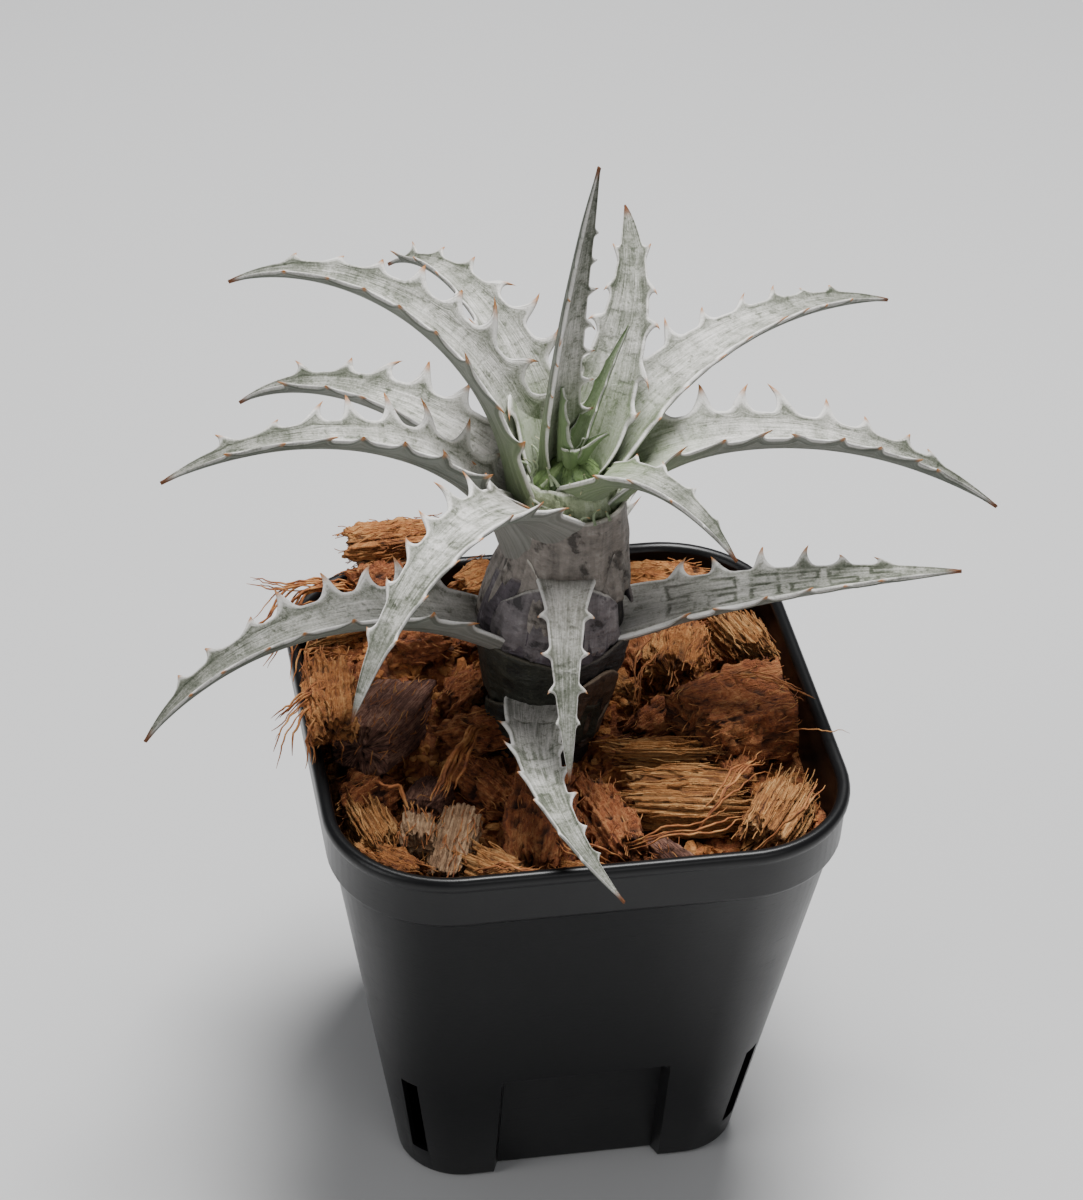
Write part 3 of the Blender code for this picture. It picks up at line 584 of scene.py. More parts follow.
def leaf_finish(name, young=False, tip=TOOTH_RUST):
    """Stiff leaf under a coat of silver scales.

    It has rusty tooth points, and the print of the bud on its upper side.
    """
    leaf = Finish(name)
    place = leaf.place()
    along, across, under, point, left, away, half, inner, bud = (
        leaf.attribute("leaf_" + label) for label in (
            "along", "across", "under", "point", "left", "away", "half", "inner", "print"))
    cloud = leaf.grain(place, 0.22, 3.0, 0.55)
    scales = leaf.grain(place, 2.6, 4.0, 0.65)
    rubbed = leaf.grain(place, 0.62, 5.0, 0.62)
    streaks = leaf.grain(leaf.combine(across * 7.0, along * 0.09, inner), 1.0, 4.0, 0.62)
    lines = leaf.grain(leaf.combine(across * 19.0, along * 0.16, 3.0), 1.0, 3.0, 0.6)
    side = abs(across)
    # The margin: pale partly from its own scale coat and partly as a painted highlight on the
    # raised edge
    rim = side.ramp(0.84, 0.94) * (1.0 - under) + side.ramp(0.955, 0.99) * under
    coat = 0.57 + (cloud - 0.5) * 0.85 + (streaks - 0.5) * 0.80 + (scales - 0.5) * 0.70
    coat = coat - (1.0 - lines.ramp(0.34, 0.47)) * 0.20 * (1.0 - rim)
    coat = coat - rubbed.ramp(0.56, 0.66) * 0.22
    coat = coat + (left.ramp(10.0, 42.0) - 0.62) * 0.22
    # The margin is lightened, partly as a painted highlight, and the band just inside it is
    # darkened as a painted shadow line
    coat = coat + rim * 0.34 - side.ramp(0.66, 0.82) * (1.0 - rim) * 0.16
    warp = (rubbed - 0.5) * 1.6
    box = ((abs(side - 0.38 + warp * 0.08) - 0.25) * half).least(away - 2.3 + warp)
    broken = leaf.grain(leaf.combine(along * 0.2, across.sign() * 3.0, inner), 1.0, 1.0, 0.5)
    broken = broken.ramp(0.40, 0.56)
    mark = (1.0 - abs(box).ramp(0.05, 0.55)) * broken * (1.0 - under) * half.ramp(1.4, 2.4) * bud
    coat = coat - mark * 0.42
    skin = leaf.node("ShaderNodeValToRGB", {"stops": COAT}, coat)
    ribs = leaf.grain(leaf.combine(across * 15.0, along * 0.03, 7.0), 1.0, 2.0, 0.5)
    back = leaf.blend(ribs.ramp(0.36, 0.62) * 0.6 + (cloud - 0.3) * 0.5, UNDER_DARK, UNDER_PALE)
    skin = leaf.blend(under * (1.0 - rim * 0.75) * 0.92, skin, back)
    green = (1.0 - along.ramp(3.0, 20.0)) * (0.35 + streaks * 0.7) * (1.0 - rim * 0.8)
    skin = leaf.blend(green * inner * 0.80, skin, INNER_GREEN)
    skin = leaf.blend(green * (1.0 - inner) * 0.45, skin, OUTER_MAUVE)
    if young:
        skin = leaf.blend(0.50 - rim * 0.35, skin, YOUNG_GREEN)
        skin = leaf.blend(point.ramp(0.70, 1.0) * 0.8, skin, tip)
    else:
        skin = leaf.blend(point.ramp(0.52, 0.88) * (0.65 + scales * 0.6), skin, tip)
        skin = leaf.blend(1.0 - left.ramp(0.5, 3.2), skin, DRY_TIP)
    leaf.set(Base_Color=skin, Roughness=0.54 + scales * 0.22)
    leaf.shader.inputs["Specular IOR Level"].default_value = 0.35
    relief = cloud * 0.6 + scales * 0.30 + streaks * 0.9 + lines * 0.6 + under * ribs * 1.2
    leaf.bump(relief - mark * 0.8, 0.00040, 0.8)
    return leaf.material


def sheath_finish(name, dark, middle, pale, edge):
    """Clasping leaf base: mottled skin with lengthwise grooves, creases and a papery edge."""
    skin = Finish(name)
    place = skin.place()
    around = skin.attribute("sheath_around")
    up = skin.attribute("sheath_up")
    rim = skin.attribute("sheath_rim")
    grooves = skin.grain(skin.combine(around * 9.0, up * 0.05, 0.0), 1.0, 3.0, 0.6)
    slant = skin.combine(around * 3.0 + up * 0.22, up * 0.10 - around * 2.0, 5.0)
    creases = skin.grain(slant, 1.0, 4.0, 0.6)
    slant = skin.combine(around * 1.6 + up * 0.75, around * 3.2 - up * 0.10, 9.0)
    wrinkles = skin.grain(slant, 1.0, 3.0, 0.6)
    mottle = skin.grain(place, 0.30, 4.0, 0.6)
    fleck = skin.grain(place, 2.2, 4.0, 0.7)
    tone = 0.42 + (grooves - 0.5) * 0.8 + (mottle - 0.5) * 0.9 + (fleck - 0.5) * 0.35
    # Wrinkles add to the skin's own tone, and the creases are darkened as painted shade
    tone = tone + (wrinkles - 0.5) * 0.6 - (1.0 - creases.ramp(0.36, 0.46)) * 0.42
    stops = ((0.0, dark), (0.5, middle), (1.0, pale))
    colour = skin.node("ShaderNodeValToRGB", {"stops": stops}, tone)
    # Painted shade: the hollow behind a sheath's free edge is coloured near black, as its shadow
    pocket_shade = skin.attribute("sheath_pocket")
    colour = skin.blend(rim.ramp(0.70, 0.97) * (0.25 + fleck * 0.8), colour, edge)
    colour = skin.blend(pocket_shade * 0.85, colour, (0.010, 0.008, 0.007))
    skin.set(Base_Color=colour, Roughness=0.42 + mottle * 0.3)
    skin.bump(grooves * 0.7 + creases * 0.9 + wrinkles * 1.1 + fleck * 0.25, 0.0008, 0.9)
    return skin.material


def husk_finish(name, dark, middle, light, thready):
    """Dry coconut husk: parallel fibres with crumbling pith between them."""
    husk = Finish(name)
    place = husk.place()
    along = husk.attribute("husk_along")
    around = husk.attribute("husk_around")
    depth = husk.attribute("husk_depth")
    fibres = husk.grain(husk.combine(along * 0.07, around * 1.3, depth * 1.3), 1.0, 4.0, 0.62)
    threads = husk.grain(husk.combine(along * 0.04, around * 4.2, depth * 4.2), 1.0, 3.0, 0.6)
    pith = husk.grain(place, 0.85, 5.0, 0.7)
    patches = husk.grain(place, 0.13, 3.0, 0.5)
    tone = 0.45 + (fibres - 0.5) * 1.3 + (threads - 0.5) * 1.2 * thready
    tone = tone + (pith - 0.5) * 1.1 * (1.3 - thready * 0.6) + (patches - 0.5) * 0.9
    stops = ((0.0, dark), (0.42, middle), (1.0, light))
    colour = husk.node("ShaderNodeValToRGB", {"stops": stops}, tone)
    # Painted shade: grooves, pits and low places are darkened towards black
    hollow = husk.attribute("husk_hollow")
    colour = husk.blend(hollow.ramp(0.10, 0.85) * 0.85, colour, (0.014, 0.005, 0.003))
    husk.set(Base_Color=colour, Roughness=0.9)
    husk.bump(fibres * 1.0 + threads * 0.7 * thready + pith * 0.9, 0.0010, 0.95)
    return husk.material


def fibre_finish():
    """Loose coir threads, from dark red brown to straw."""
    coir = Finish("loose coir fibre")
    place = coir.place()
    tone = coir.grain(place, 0.35, 3.0, 0.6)
    stops = ((0.30, (0.13, 0.036, 0.012)), (0.5, (0.36, 0.125, 0.036)), (0.7, (0.60, 0.31, 0.11)))
    colour = coir.node("ShaderNodeValToRGB", {"stops": stops}, tone)
    coir.set(Base_Color=colour, Roughness=0.7 + tone * 0.2)
    return coir.material


def pot_finish():
    """Thin black moulded plastic, satin, with faint dust and rubbing."""
    pot = Finish("black pot plastic")
    place = pot.place()
    cloud = pot.grain(place, 0.05, 4.0, 0.6)
    dust = pot.grain(place, 1.4, 4.0, 0.7)
    scuff = pot.grain(pot.vector("MULTIPLY", place, (0.25, 0.25, 2.4)), 1.0, 3.0, 0.6)
    colour = pot.blend(dust.ramp(0.55, 0.8) * 0.35, (0.0045, 0.0045, 0.005), (0.016, 0.015, 0.014))
    pot.set(Base_Color=colour, Roughness=0.24 + cloud * 0.2 + scuff.ramp(0.6, 0.8) * 0.12)
    pot.shader.inputs["Specular IOR Level"].default_value = 0.32
    pot.bump(dust * 0.25 + scuff * 0.1, 0.00012, 0.4)
    return pot.material


# Trees of geometry

def geometry_tree(name, inputs):
    """An empty geometry tree, its graph and the values of its inputs.

    An input without a kind is a number. Every tree also takes a material.
    """
    tree = bpy.data.node_groups.new(name, "GeometryNodeTree")
    for item in (*inputs, ("Material", "Material")):
        label, kind = (item, "Float") if isinstance(item, str) else item
        tree.interface.new_socket(label, in_out="INPUT", socket_type="NodeSocket" + kind)
    tree.interface.new_socket("Geometry", in_out="OUTPUT", socket_type="NodeSocketGeometry")
    graph = Graph(tree)
    entry = tree.nodes.new("NodeGroupInput")
    given = {socket.name: Value(graph, socket) for socket in entry.outputs if socket.name}
    return tree, graph, given


def close_tree(graph, geometry, material):
    """End a tree with its instances made real and its material set."""
    real = graph.node("GeometryNodeRealizeInstances", {}, geometry)
    coated = graph.node("GeometryNodeSetMaterial", {}, real, Material=material)
    end = graph.tree.nodes.new("NodeGroupOutput")
    graph.feed(end.inputs[0], coated)


def close_tubes(graph, curves, sides, radius, material, **named):
    """End a tree of curves with a round section along each."""
    section = graph.node("GeometryNodeCurvePrimitiveCircle", {}, Resolution=sides, Radius=radius)
    tubes = graph.node("GeometryNodeCurveToMesh", {}, curves, section, **named)
    close_tree(graph, graph.node("GeometryNodeSetShadeSmooth", {}, tubes), material)


def scatter(graph, spots, thing, rotation, scale):
    """A copy of a thing on each spot, made real."""
    laid = graph.node("GeometryNodeInstanceOnPoints", {}, spots, Instance=thing, Rotation=rotation,
                      Scale=scale)
    return graph.node("GeometryNodeRealizeInstances", {}, laid)


def loosely(graph, direction, loose):
    """A rotation that points a thing's X axis along a direction, then turns it loosely."""
    aligned = graph.node("FunctionNodeAlignRotationToVector", {"axis": "X"}, Vector=direction)
    turn = graph.node("FunctionNodeEulerToRotation", {}, loose)
    return graph.node("FunctionNodeRotateRotation", {}, aligned, turn)


def shake(graph, geometry, place, middle, reach, **pattern):
    """Move each point by the colour of a noise pattern, less the colour that stays put."""
    wave = graph.node("ShaderNodeTexNoise", {"output": "Color"}, place, **pattern)
    wave = graph.vector("SCALE", graph.vector("SUBTRACT", wave, middle), reach)
    return graph.node("GeometryNodeSetPosition", {}, geometry, Offset=wave)


def add_object(name, data):
    """A new object in the scene."""
    thing = bpy.data.objects.new(name, data)
    bpy.context.scene.collection.objects.link(thing)
    return thing


def store_numbers(mesh, label, values, kind="FLOAT"):
    """Store numbers on a mesh's points, one after another."""
    stored = mesh.attributes.new(label, kind, "POINT")
    stored.data.foreach_set("value" if kind == "FLOAT" else "vector", values)


def keep_result(thing):
    """Put the result of an object's modifiers in place of its mesh."""
    bpy.context.view_layer.update()
    evaluated = thing.evaluated_get(bpy.context.evaluated_depsgraph_get())
    result = bpy.data.meshes.new_from_object(evaluated)
    thing.modifiers.clear()
    thing.data = result


def grow(name, tree, settings, mesh):
    """Run a geometry tree over a mesh and keep the result as a plain mesh object."""
    thing = add_object(name, mesh)
    modifier = thing.modifiers.new("form", "NODES")
    modifier.node_group = tree
    for item in tree.interface.items_tree:
        if item.item_type == "SOCKET" and item.in_out == "INPUT" and item.name in settings:
            modifier[item.identifier] = settings[item.name]
    keep_result(thing)
    return thing


def leaf_tree():
    """A toothed blade along its own midline.

    Its mesh input is a row of points, one for each pair of teeth.
    """
    tree, graph, given = geometry_tree("toothed leaf", (
        ("Teeth", "Geometry"), "Azimuth", "Sweep", "Rise", "Droop", "Bend", "Length", "Width",
        "Taper", ("Seat", "Vector"), "Seat Radius", "Root", "Flare", "Tooth Foot", "Thickness",
        "Margin", "Channel", "Print", ("Stations", "Int"), ("Ring", "Int"), "Inner", "Seed"))
    node = graph.node
    length, width = given["Length"], given["Width"]

    def heading_at(share):
        """Which way the blade runs, and which way is across it, at a share of its length."""
        droop = (given["Droop"] - given["Rise"]) * share ** given["Bend"]
        pitch = (given["Rise"] + droop).math("RADIANS")
        turn = (given["Azimuth"] + given["Sweep"] * share).math("RADIANS")
        level = pitch.cosine()
        heading = graph.combine(level * turn.cosine(), level * turn.sine(), pitch.sine())
        across = graph.combine(turn.sine() * -1.0, turn.cosine(), 0.0)
        return heading, across

    # Midline
    line = node("GeometryNodeMeshLine", {"mode": "OFFSET"}, Count=MIDLINE_POINTS)
    index = node("GeometryNodeInputIndex")
    heading, _ = heading_at(index / (MIDLINE_POINTS - 1.0))
    step = graph.vector("SCALE", heading, length / (MIDLINE_POINTS - 1.0))
    trail = node("GeometryNodeAccumulateField",
                 {"data_type": "FLOAT_VECTOR", "output": "Trailing"}, step)
    midline = node("GeometryNodeSetPosition", {}, line,
                   Position=graph.vector("ADD", given["Seat"], trail))

    # Blade
    tube = node("GeometryNodeMeshCylinder", {"fill_type": "NGON", "output": "Mesh"},
                Vertices=given["Ring"], Side_Segments=given["Stations"], Radius=1.0, Depth=1.0)
    place = node("GeometryNodeInputPosition")
    spot, height, run = graph.split(place)
    root = given["Root"] / length
    share = (run + 0.5) * (root + 1.0) - root
    inside = share.least(0.0).most(1.0)
    heading, across = heading_at(inside)
    upward = graph.vector("CROSS_PRODUCT", heading, across)
    sample = share * (MIDLINE_POINTS - 1.0)
    low = sample.math("FLOOR").least(0.0).most(MIDLINE_POINTS - 2.0)

    def midline_at(number):
        """A point of the midline."""
        return node("GeometryNodeSampleIndex", {"data_type": "FLOAT_VECTOR"}, midline, place,
                    number)

    first, second = midline_at(low), midline_at(low + 1.0)
    centre = graph.move(first, graph.vector("SUBTRACT", second, first), sample - low)

    # Teeth
    along = share * length
    near = node("GeometryNodeSampleNearest", {"domain": "POINT"}, given["Teeth"],
                graph.combine(along, 0.0, 0.0))

    def tooth_value(label):
        """A number of the nearest pair of teeth."""
        return node("GeometryNodeSampleIndex", {"data_type": "FLOAT"}, given["Teeth"],
                    graph.stored(label), near)

    right = spot.math("GREATER_THAN", 0.0)
    size = tooth_value("left") * (1.0 - right) + tooth_value("right") * right
    away = abs(along - tooth_value("along"))
    rise = (1.0 - away / (given["Tooth Foot"] * 0.5)).least(0.0) ** 2.3
    edge = ((abs(spot) - 0.74) / 0.26).least(0.0)
    point = rise * edge ** 1.3
    out = size * point
    hook, curl = tooth_value("hook"), tooth_value("curl")

    # Section
    taper = 1.0 - inside
    wave = node("ShaderNodeTexNoise", {}, graph.combine(along * 0.09, given["Seed"], right),
                Scale=1.0, Detail=2.0)
    flare = (1.0 - inside / 0.24).least(0.0) ** 2.0
    half = (width * 0.5 * taper ** given["Taper"] * (0.93 + wave * 0.14)).least(0.15)
    half = half * (1.0 + flare * given["Flare"])
    clasp = (1.0 - inside / 0.20).least(0.0) ** 1.5
    curve = (clasp / (given["Seat Radius"] - 1.0)).least(0.002)
    channel = half * given["Channel"] * (1.0 - clasp * 0.8)
    middle = (given["Thickness"] * taper ** 0.6).least(0.34)
    margin = middle.most(given["Margin"])
    bead = (1.0 - abs(abs(spot) - 0.92) / 0.07).least(0.0) * 0.30
    thick = margin + bead + (middle - margin) * (1.0 - spot * spot)
    thick = thick + (TOOTH_THICKNESS - thick) * (out / 1.6).most(1.0) * edge
    rounding = (abs(height) * 3.0).most(1.0)
    below = height.math("LESS_THAN", 0.0)
    above = height.sign() * rounding * thick * (0.5 + below * 0.45 * (1.0 - edge))
    ridge = node("ShaderNodeTexNoise", {},
                 graph.combine(spot * 5.0, along * 0.05, given["Seed"] + height * 2.0),
                 Scale=1.0, Detail=2.0)
    above = above + (ridge - 0.5) * 0.5 * taper * (1.0 - edge) * abs(height)
    turned = (half * spot + spot.sign() * out * 0.68) * curve
    side = turned.sine() / curve
    inward = (1.0 - turned.cosine()) / curve
    azimuth = given["Azimuth"].math("RADIANS")
    lift = channel * spot * spot + out * 0.72 + out * point * curl * 0.25
    ahead = out * hook * 1.2 + out * point * point * curl
    position = graph.move(centre, across, side)
    position = graph.move(position, upward, lift + above)
    position = graph.move(position, heading, ahead)
    position = graph.vector("ADD", position, graph.combine(
        azimuth.cosine() * inward * -1.0, azimuth.sine() * inward * -1.0, 0.0))

    # Numbers kept for the finish
    shape = tube
    for label, value in (
            ("along", along), ("across", spot), ("point", point * size.ramp(0.8, 1.6)),
            ("left", length * taper), ("away", away), ("half", half), ("under", below),
            ("inner", given["Inner"]), ("print", given["Print"])):
        shape = graph.store(shape, "leaf_" + label, value)
    shape = node("GeometryNodeSetPosition", {}, shape, Position=graph.vector("SCALE", position, MM))
    shape = node("GeometryNodeSetShadeSmooth", {}, shape)
    close_tree(graph, shape, given["Material"])
    return tree


def tooth_scale(leaf):
    """How far a narrow leaf's teeth shrink and crowd together."""
    return min(1.0, max(leaf.width / FULL_WIDTH, 0.6))


def tooth_row(leaf, form):
    """A point for each pair of teeth, as the leaf's solid has them, with heights and hook."""
    draw, curls = random.Random(leaf.seed), random.Random(leaf.seed + 100)
    pitch = TOOTH_PITCH / leaf.length * tooth_scale(leaf)
    share = FIRST_TOOTH + pitch * 0.7
    rows = []
    while share < LAST_TOOTH:
        size = leaf.tooth * (0.45 + 0.55 * math.sin(math.pi * min(share * 1.25 + 0.12, 1.0)))
        size *= draw.uniform(0.8, 1.1)
        hook = draw.uniform(-0.26, 0.34)
        grown = size * TOOTH_GROWTH * form.tooth
        rows.append((share * leaf.length, grown, grown * draw.uniform(0.75, 1.05), hook,
                     curls.uniform(-0.75, 0.75)))
        share += pitch * draw.uniform(0.92, 1.12)
    mesh = bpy.data.meshes.new(leaf.name + "_teeth")
    mesh.from_pydata([(row[0], 0.0, 0.0) for row in rows], [], [])
    for column, label in enumerate(("along", "left", "right", "hook", "curl")):
        store_numbers(mesh, label, [row[column] for row in rows])
    return mesh


def build_leaf(leaf, tree, material, form, root):
    """Grow one leaf."""
    settings = {
        "Azimuth": float(leaf.azimuth), "Sweep": float(leaf.sweep), "Rise": float(leaf.rise),
        "Droop": float(leaf.droop), "Bend": float(leaf.bend), "Length": leaf.length - TIP_GAP,
        "Width": float(leaf.width), "Taper": form.taper,
        "Seat": tuple(from_axis(leaf.azimuth, leaf.seat_radius, leaf.seat_height)),
        "Seat Radius": float(leaf.seat_radius), "Root": root, "Flare": form.flare,
        "Channel": form.channel, "Print": form.print,
        "Inner": 1.0 if leaf.seat_height > INNER_SEAT else 0.0,
        "Tooth Foot": TOOTH_FOOT * tooth_scale(leaf) * form.foot,
        "Thickness": LEAF_THICKNESS * min(1.0, leaf.width / FULL_THICKNESS_WIDTH),
        "Margin": MARGIN_THICKNESS, "Stations": int(leaf.length * STATIONS_PER_MM),
        "Ring": BLADE_RING, "Seed": float(leaf.seed), "Material": material}
    return grow(leaf.name, tree, settings, tooth_row(leaf, form))


# Stem

def stem_axis(height):
    """A point on the stem's leaning centre line."""
    low, high = Vector(STEM_LOW), Vector(STEM_HIGH)
    share = min(max((height - low.z) / (high.z - low.z), 0.0), 1.0)
    centre = low.lerp(high, share)
    centre.z = height
    return centre


def from_axis(azimuth, radius, height):
    """A point at a distance from the stem's centre line."""
    turn = math.radians(azimuth)
    return stem_axis(height) + Vector((radius * math.cos(turn), radius * math.sin(turn), 0.0))


def profile_radius(height):
    """The stem's radius without its sheaths."""
    steps = zip(STEM_PROFILE, STEM_PROFILE[1:])
    (low, small), (high, large) = next(step for step in steps if height <= step[1][0])
    share = (height - low) / (high - low)
    return small + (large - small) * min(max(share, 0.0), 1.0)


def stem_point(azimuth, height, proud=0.0):
    """A point on the stem's surface, or standing proud of it."""
    swollen, level, spread, rise, swell = BULGE
    away = (azimuth - swollen + 180.0) % 360.0 - 180.0
    bulge = swell * math.exp(-(away / spread) ** 2 - ((height - level) / rise) ** 2)
    return from_axis(azimuth, profile_radius(height) + proud + bulge, height)


def mesh_object(name, points, faces, material, numbers=None):
    """A mesh object from points in millimetres, with numbers on its points for the finish."""
    mesh = bpy.data.meshes.new(name)
    mesh.from_pydata([Vector(point) * MM for point in points], [], faces)
    for label, values in (numbers or {}).items():
        store_numbers(mesh, label, values)
    mesh.materials.append(material)
    thing = add_object(name, mesh)
    work = bmesh.new()
    work.from_mesh(mesh)
    bmesh.ops.recalc_face_normals(work, faces=work.faces)
    work.to_mesh(mesh)
    work.free()
    mesh.shade_smooth()
    return thing


def loft(rings):
    """Points and faces of a closed body through rings of equal length."""
    count = len(rings[0])
    points = [point for ring in rings for point in ring]
    faces = []
    for level in range(len(rings) - 1):
        for side in range(count):
            here = level * count + side
            beside = level * count + (side + 1) % count
            faces.append((here, beside, beside + count, here + count))
    last = (len(rings) - 1) * count
    faces.append(tuple(reversed(range(count))))
    faces.append(tuple(range(last, last + count)))
    return points, faces


def build_stem_core(material):
    """The wrinkled column under the sheaths."""
    rings, around, up, rim = [], [], [], []
    sides, levels = 120, 110
    foot = STEM_PROFILE[0][0]
    for level in range(levels + 1):
        height = foot + (CORE_TOP - foot) * level / levels
        ring = []
        for side in range(sides):
            azimuth = 360.0 * side / sides
            rough = noise.noise(Vector((azimuth * 0.09, height * 0.35, 4.0))) * 0.4
            rough += noise.noise(Vector((azimuth * 0.03 + height * 0.05, height * 0.12, 9.0))) * 0.5
            ring.append(stem_point(azimuth, height, rough - 1.1))
            around.append(math.sin(math.radians(azimuth)) * 2.0)
            up.append(height)
            rim.append(0.0)
        rings.append(ring)
    points, faces = loft(rings)
    numbers = {"sheath_around": around, "sheath_up": up, "sheath_rim": rim}
    return mesh_object("stem_core", points, faces, material, numbers)


def build_sheath(sheath, material):
    """A clasping leaf base: a thin scale round the stem.

    Its upper edge is free, with a hollow behind it.
    """
    rings, around, up, rim, pocket_shade = [], [], [], [], []
    for station in range(SHEATH_STATIONS):
        away = 2.0 * station / (SHEATH_STATIONS - 1) - 1.0
        azimuth = sheath.azimuth + away * sheath.sweep
        ripple = noise.noise(Vector((away * 2.4, sheath.seed * 1.7, 0.0)))
        ripple += 0.4 * noise.noise(Vector((away * 9.0, sheath.seed * 2.3, 4.0)))
        top = sheath.top - sheath.fall * away * away + sheath.lean * away
        top += ripple * 1.1 * abs(away)
        bottom = sheath.top - sheath.reach
        top = max(top, bottom + 1.5)
        step = sheath.proud * (1.0 - away ** 4) - 0.5 * away ** 10
        ring = []
        for index in range(SHEATH_PROFILE):
            share = index / (SHEATH_PROFILE - 1)
            height = bottom + (top - bottom) * share
            swell = step * (0.15 + 0.85 * share ** 0.8)
            crease = noise.noise(Vector((away * 6.0, height * 0.09, sheath.seed * 3.1))) * 0.90
            fine = Vector((away * 19.0 + height * 0.16, height * 0.06, sheath.seed * 1.3))
            crease += noise.noise(fine) * 0.36
            swell += crease * (0.25 + 0.75 * min(1.0, (1.0 - share) * 3.0))
            ring.append(stem_point(azimuth, height, swell))
            rim.append(share ** 9 * (1.0 - away ** 8))
        ring.append(stem_point(azimuth, top + 0.1, step - SHEATH_LIP))
        ring.append(stem_point(azimuth, top - SHEATH_POCKET * 0.5, step * 0.55 - SHEATH_LIP))
        ring.append(stem_point(azimuth, max(top - SHEATH_POCKET, bottom + 0.5), -0.9))
        ring.append(stem_point(azimuth, bottom, -1.6))
        rim.extend((1.0 - away ** 8, 0.0, 0.0, 0.0))
        # The hollow behind the edge is marked for painted shade
        pocket_shade.extend([0.0] * SHEATH_PROFILE + [0.0, 1.0, 1.0, 1.0])
        around.extend([away * sheath.sweep / 75.0] * len(ring))
        up.extend([point.z for point in ring])
        rings.append(ring)
    points, faces = loft(rings)
    numbers = {"sheath_around": around, "sheath_up": up, "sheath_rim": rim,
               "sheath_pocket": pocket_shade}
    return mesh_object("sheath_" + sheath.name, points, faces, material, numbers)


def soft_tooth_tree():
    """Curled soft teeth standing in a ring round the heart."""
    tree, graph, given = geometry_tree("soft heart teeth", (
        ("Ring", "Geometry"), "Height", "Thickness", ("Seed", "Int")))
    node = graph.node
    spine = node("GeometryNodeCurveQuadraticBezier", {}, 10, (0.0, 0.0, 0.0), (0.35, 0.0, 0.65),
                 (-0.45, 0.0, 0.95))
    inward = graph.stored("inward", "FLOAT_VECTOR")
    loose = graph.drawn((-0.7, -0.5, -0.7), (0.7, 0.7, 0.7), given["Seed"])
    size = graph.drawn(0.6, 1.1, given["Seed"] + 2)
    real = scatter(graph, given["Ring"], spine, loosely(graph, inward, loose),
                   size * given["Height"])
    share = node("GeometryNodeSplineParameter", {"output": "Factor"})
    thin = given["Thickness"] * (1.0 - share) ** 0.8 + 0.00003
    real = graph.store(real, "leaf_point", share)
    close_tubes(graph, real, 6, 1.0, given["Material"], Scale=thin, Fill_Caps=True)
    return tree


def build_soft_teeth(name, ring, material, height, thickness, seed):
    """Slender teeth round the stem. The ring gives each one's turn, radius and height."""
    points, inward = [], []
    for degrees, radius, level in ring:
        turn = math.radians(degrees)
        points.append(from_axis(degrees, radius, level) * MM)
        inward.extend((-math.cos(turn), -math.sin(turn), 0.1))
    mesh = bpy.data.meshes.new(name)
    mesh.from_pydata(points, [], [])
    store_numbers(mesh, "inward", inward, "FLOAT_VECTOR")
    settings = {"Height": height * MM, "Thickness": thickness * MM, "Seed": seed,
                "Material": material}
    return grow(name, soft_tooth_tree(), settings, mesh)


def build_heart_cup(material):
    """The green growing point that the youngest leaves stand in."""
    rings, around, up = [], [], []
    for height, radius in HEART_PROFILE:
        ring = []
        for side in range(HEART_SIDES):
            turn = 2.0 * math.pi * side / HEART_SIDES
            spot = Vector((math.cos(turn) * 1.6, math.sin(turn) * 1.6, height * 0.12))
            fold = noise.noise(spot) * 0.9
            reach = radius * (1.0 + 0.12 * fold)
            ring.append(stem_axis(height) + Vector(
                (reach * math.cos(turn), reach * math.sin(turn), fold * 0.4)))
            around.append(side / 20.0)
            up.append(height)
        rings.append(ring)
    points, faces = loft(rings)
    numbers = {"sheath_around": around, "sheath_up": up, "sheath_rim": [0.0] * len(points)}
    return mesh_object("heart_cup", points, faces, material, numbers)


# Potting mix

def mix_height(x, y):
    """Height of the bed: nearly level, with a mound at the back left."""
    centre_x, centre_y, spread, rise = MOUND
    mound = rise * math.exp(-((x - centre_x) ** 2 + (y - centre_y) ** 2) / spread ** 2)
    ripple = 0.9 * math.sin(0.41 * x + 0.8) * math.cos(0.37 * y)
    ripple += 0.6 * math.sin(0.7 * y + 0.23 * x)
    return MIX_LEVEL + mound + ripple


def filler_chips():
    """Smaller chips between the large ones, drawn clear of the stem and of each other."""
    draw = random.Random(FILLER_SEED)
    taken = [(chip.x, chip.y, chip.length) for chip in CHIPS]
    fillers = []
    for _ in range(FILLER_TRIES):
        x, y = (draw.uniform(-FILLER_REACH, FILLER_REACH) for _ in range(2))
        length, width, height, heading, tilt, rise = (draw.uniform(low, high) for low, high in (
            (9.0, 15.0), (6.0, 9.5), (5.5, 8.0), (0.0, 180.0), (-22.0, 22.0), (-0.5, 2.0)))
        if abs(x) + abs(y) > FILLER_CORNER or math.hypot(x, y - 4.0) < 11.5 + width * 0.5:
            continue
        if any(math.hypot(x - other_x, y - other_y) < 0.40 * (length + other)
               for other_x, other_y, other in taken):
            continue
        taken.append((x, y, length))
        number = len(fillers) + 1
        finish = FILLER_FINISHES[number % len(FILLER_FINISHES)]
        fillers.append(Chip(f"{FILLER_NAME}_{number:02d}", x, y, mix_height(x, y) + rise, length,
                            width, height, heading, tilt, 300 + number, finish))
    return fillers


def keep_inside(point):
    """Move a point that would cross the pot's wall back to the wall's inner face."""
    if point.z > HOLD_BELOW:
        return point
    share = min(point.z / STEP_HEIGHT, 1.0)
    half = BASE_HALF + (INNER_HALF - BASE_HALF) * share - 1.6
    corner = BASE_CORNER + (INNER_CORNER - BASE_CORNER) * share
    flat = half - corner
    x, y = max(min(point.x, half), -half), max(min(point.y, half), -half)
    if abs(x) > flat and abs(y) > flat:
        over = math.hypot(abs(x) - flat, abs(y) - flat)
        if over > corner:
            x = math.copysign(flat + (abs(x) - flat) * corner / over, x)
            y = math.copysign(flat + (abs(y) - flat) * corner / over, y)
    return Vector((x, y, point.z))


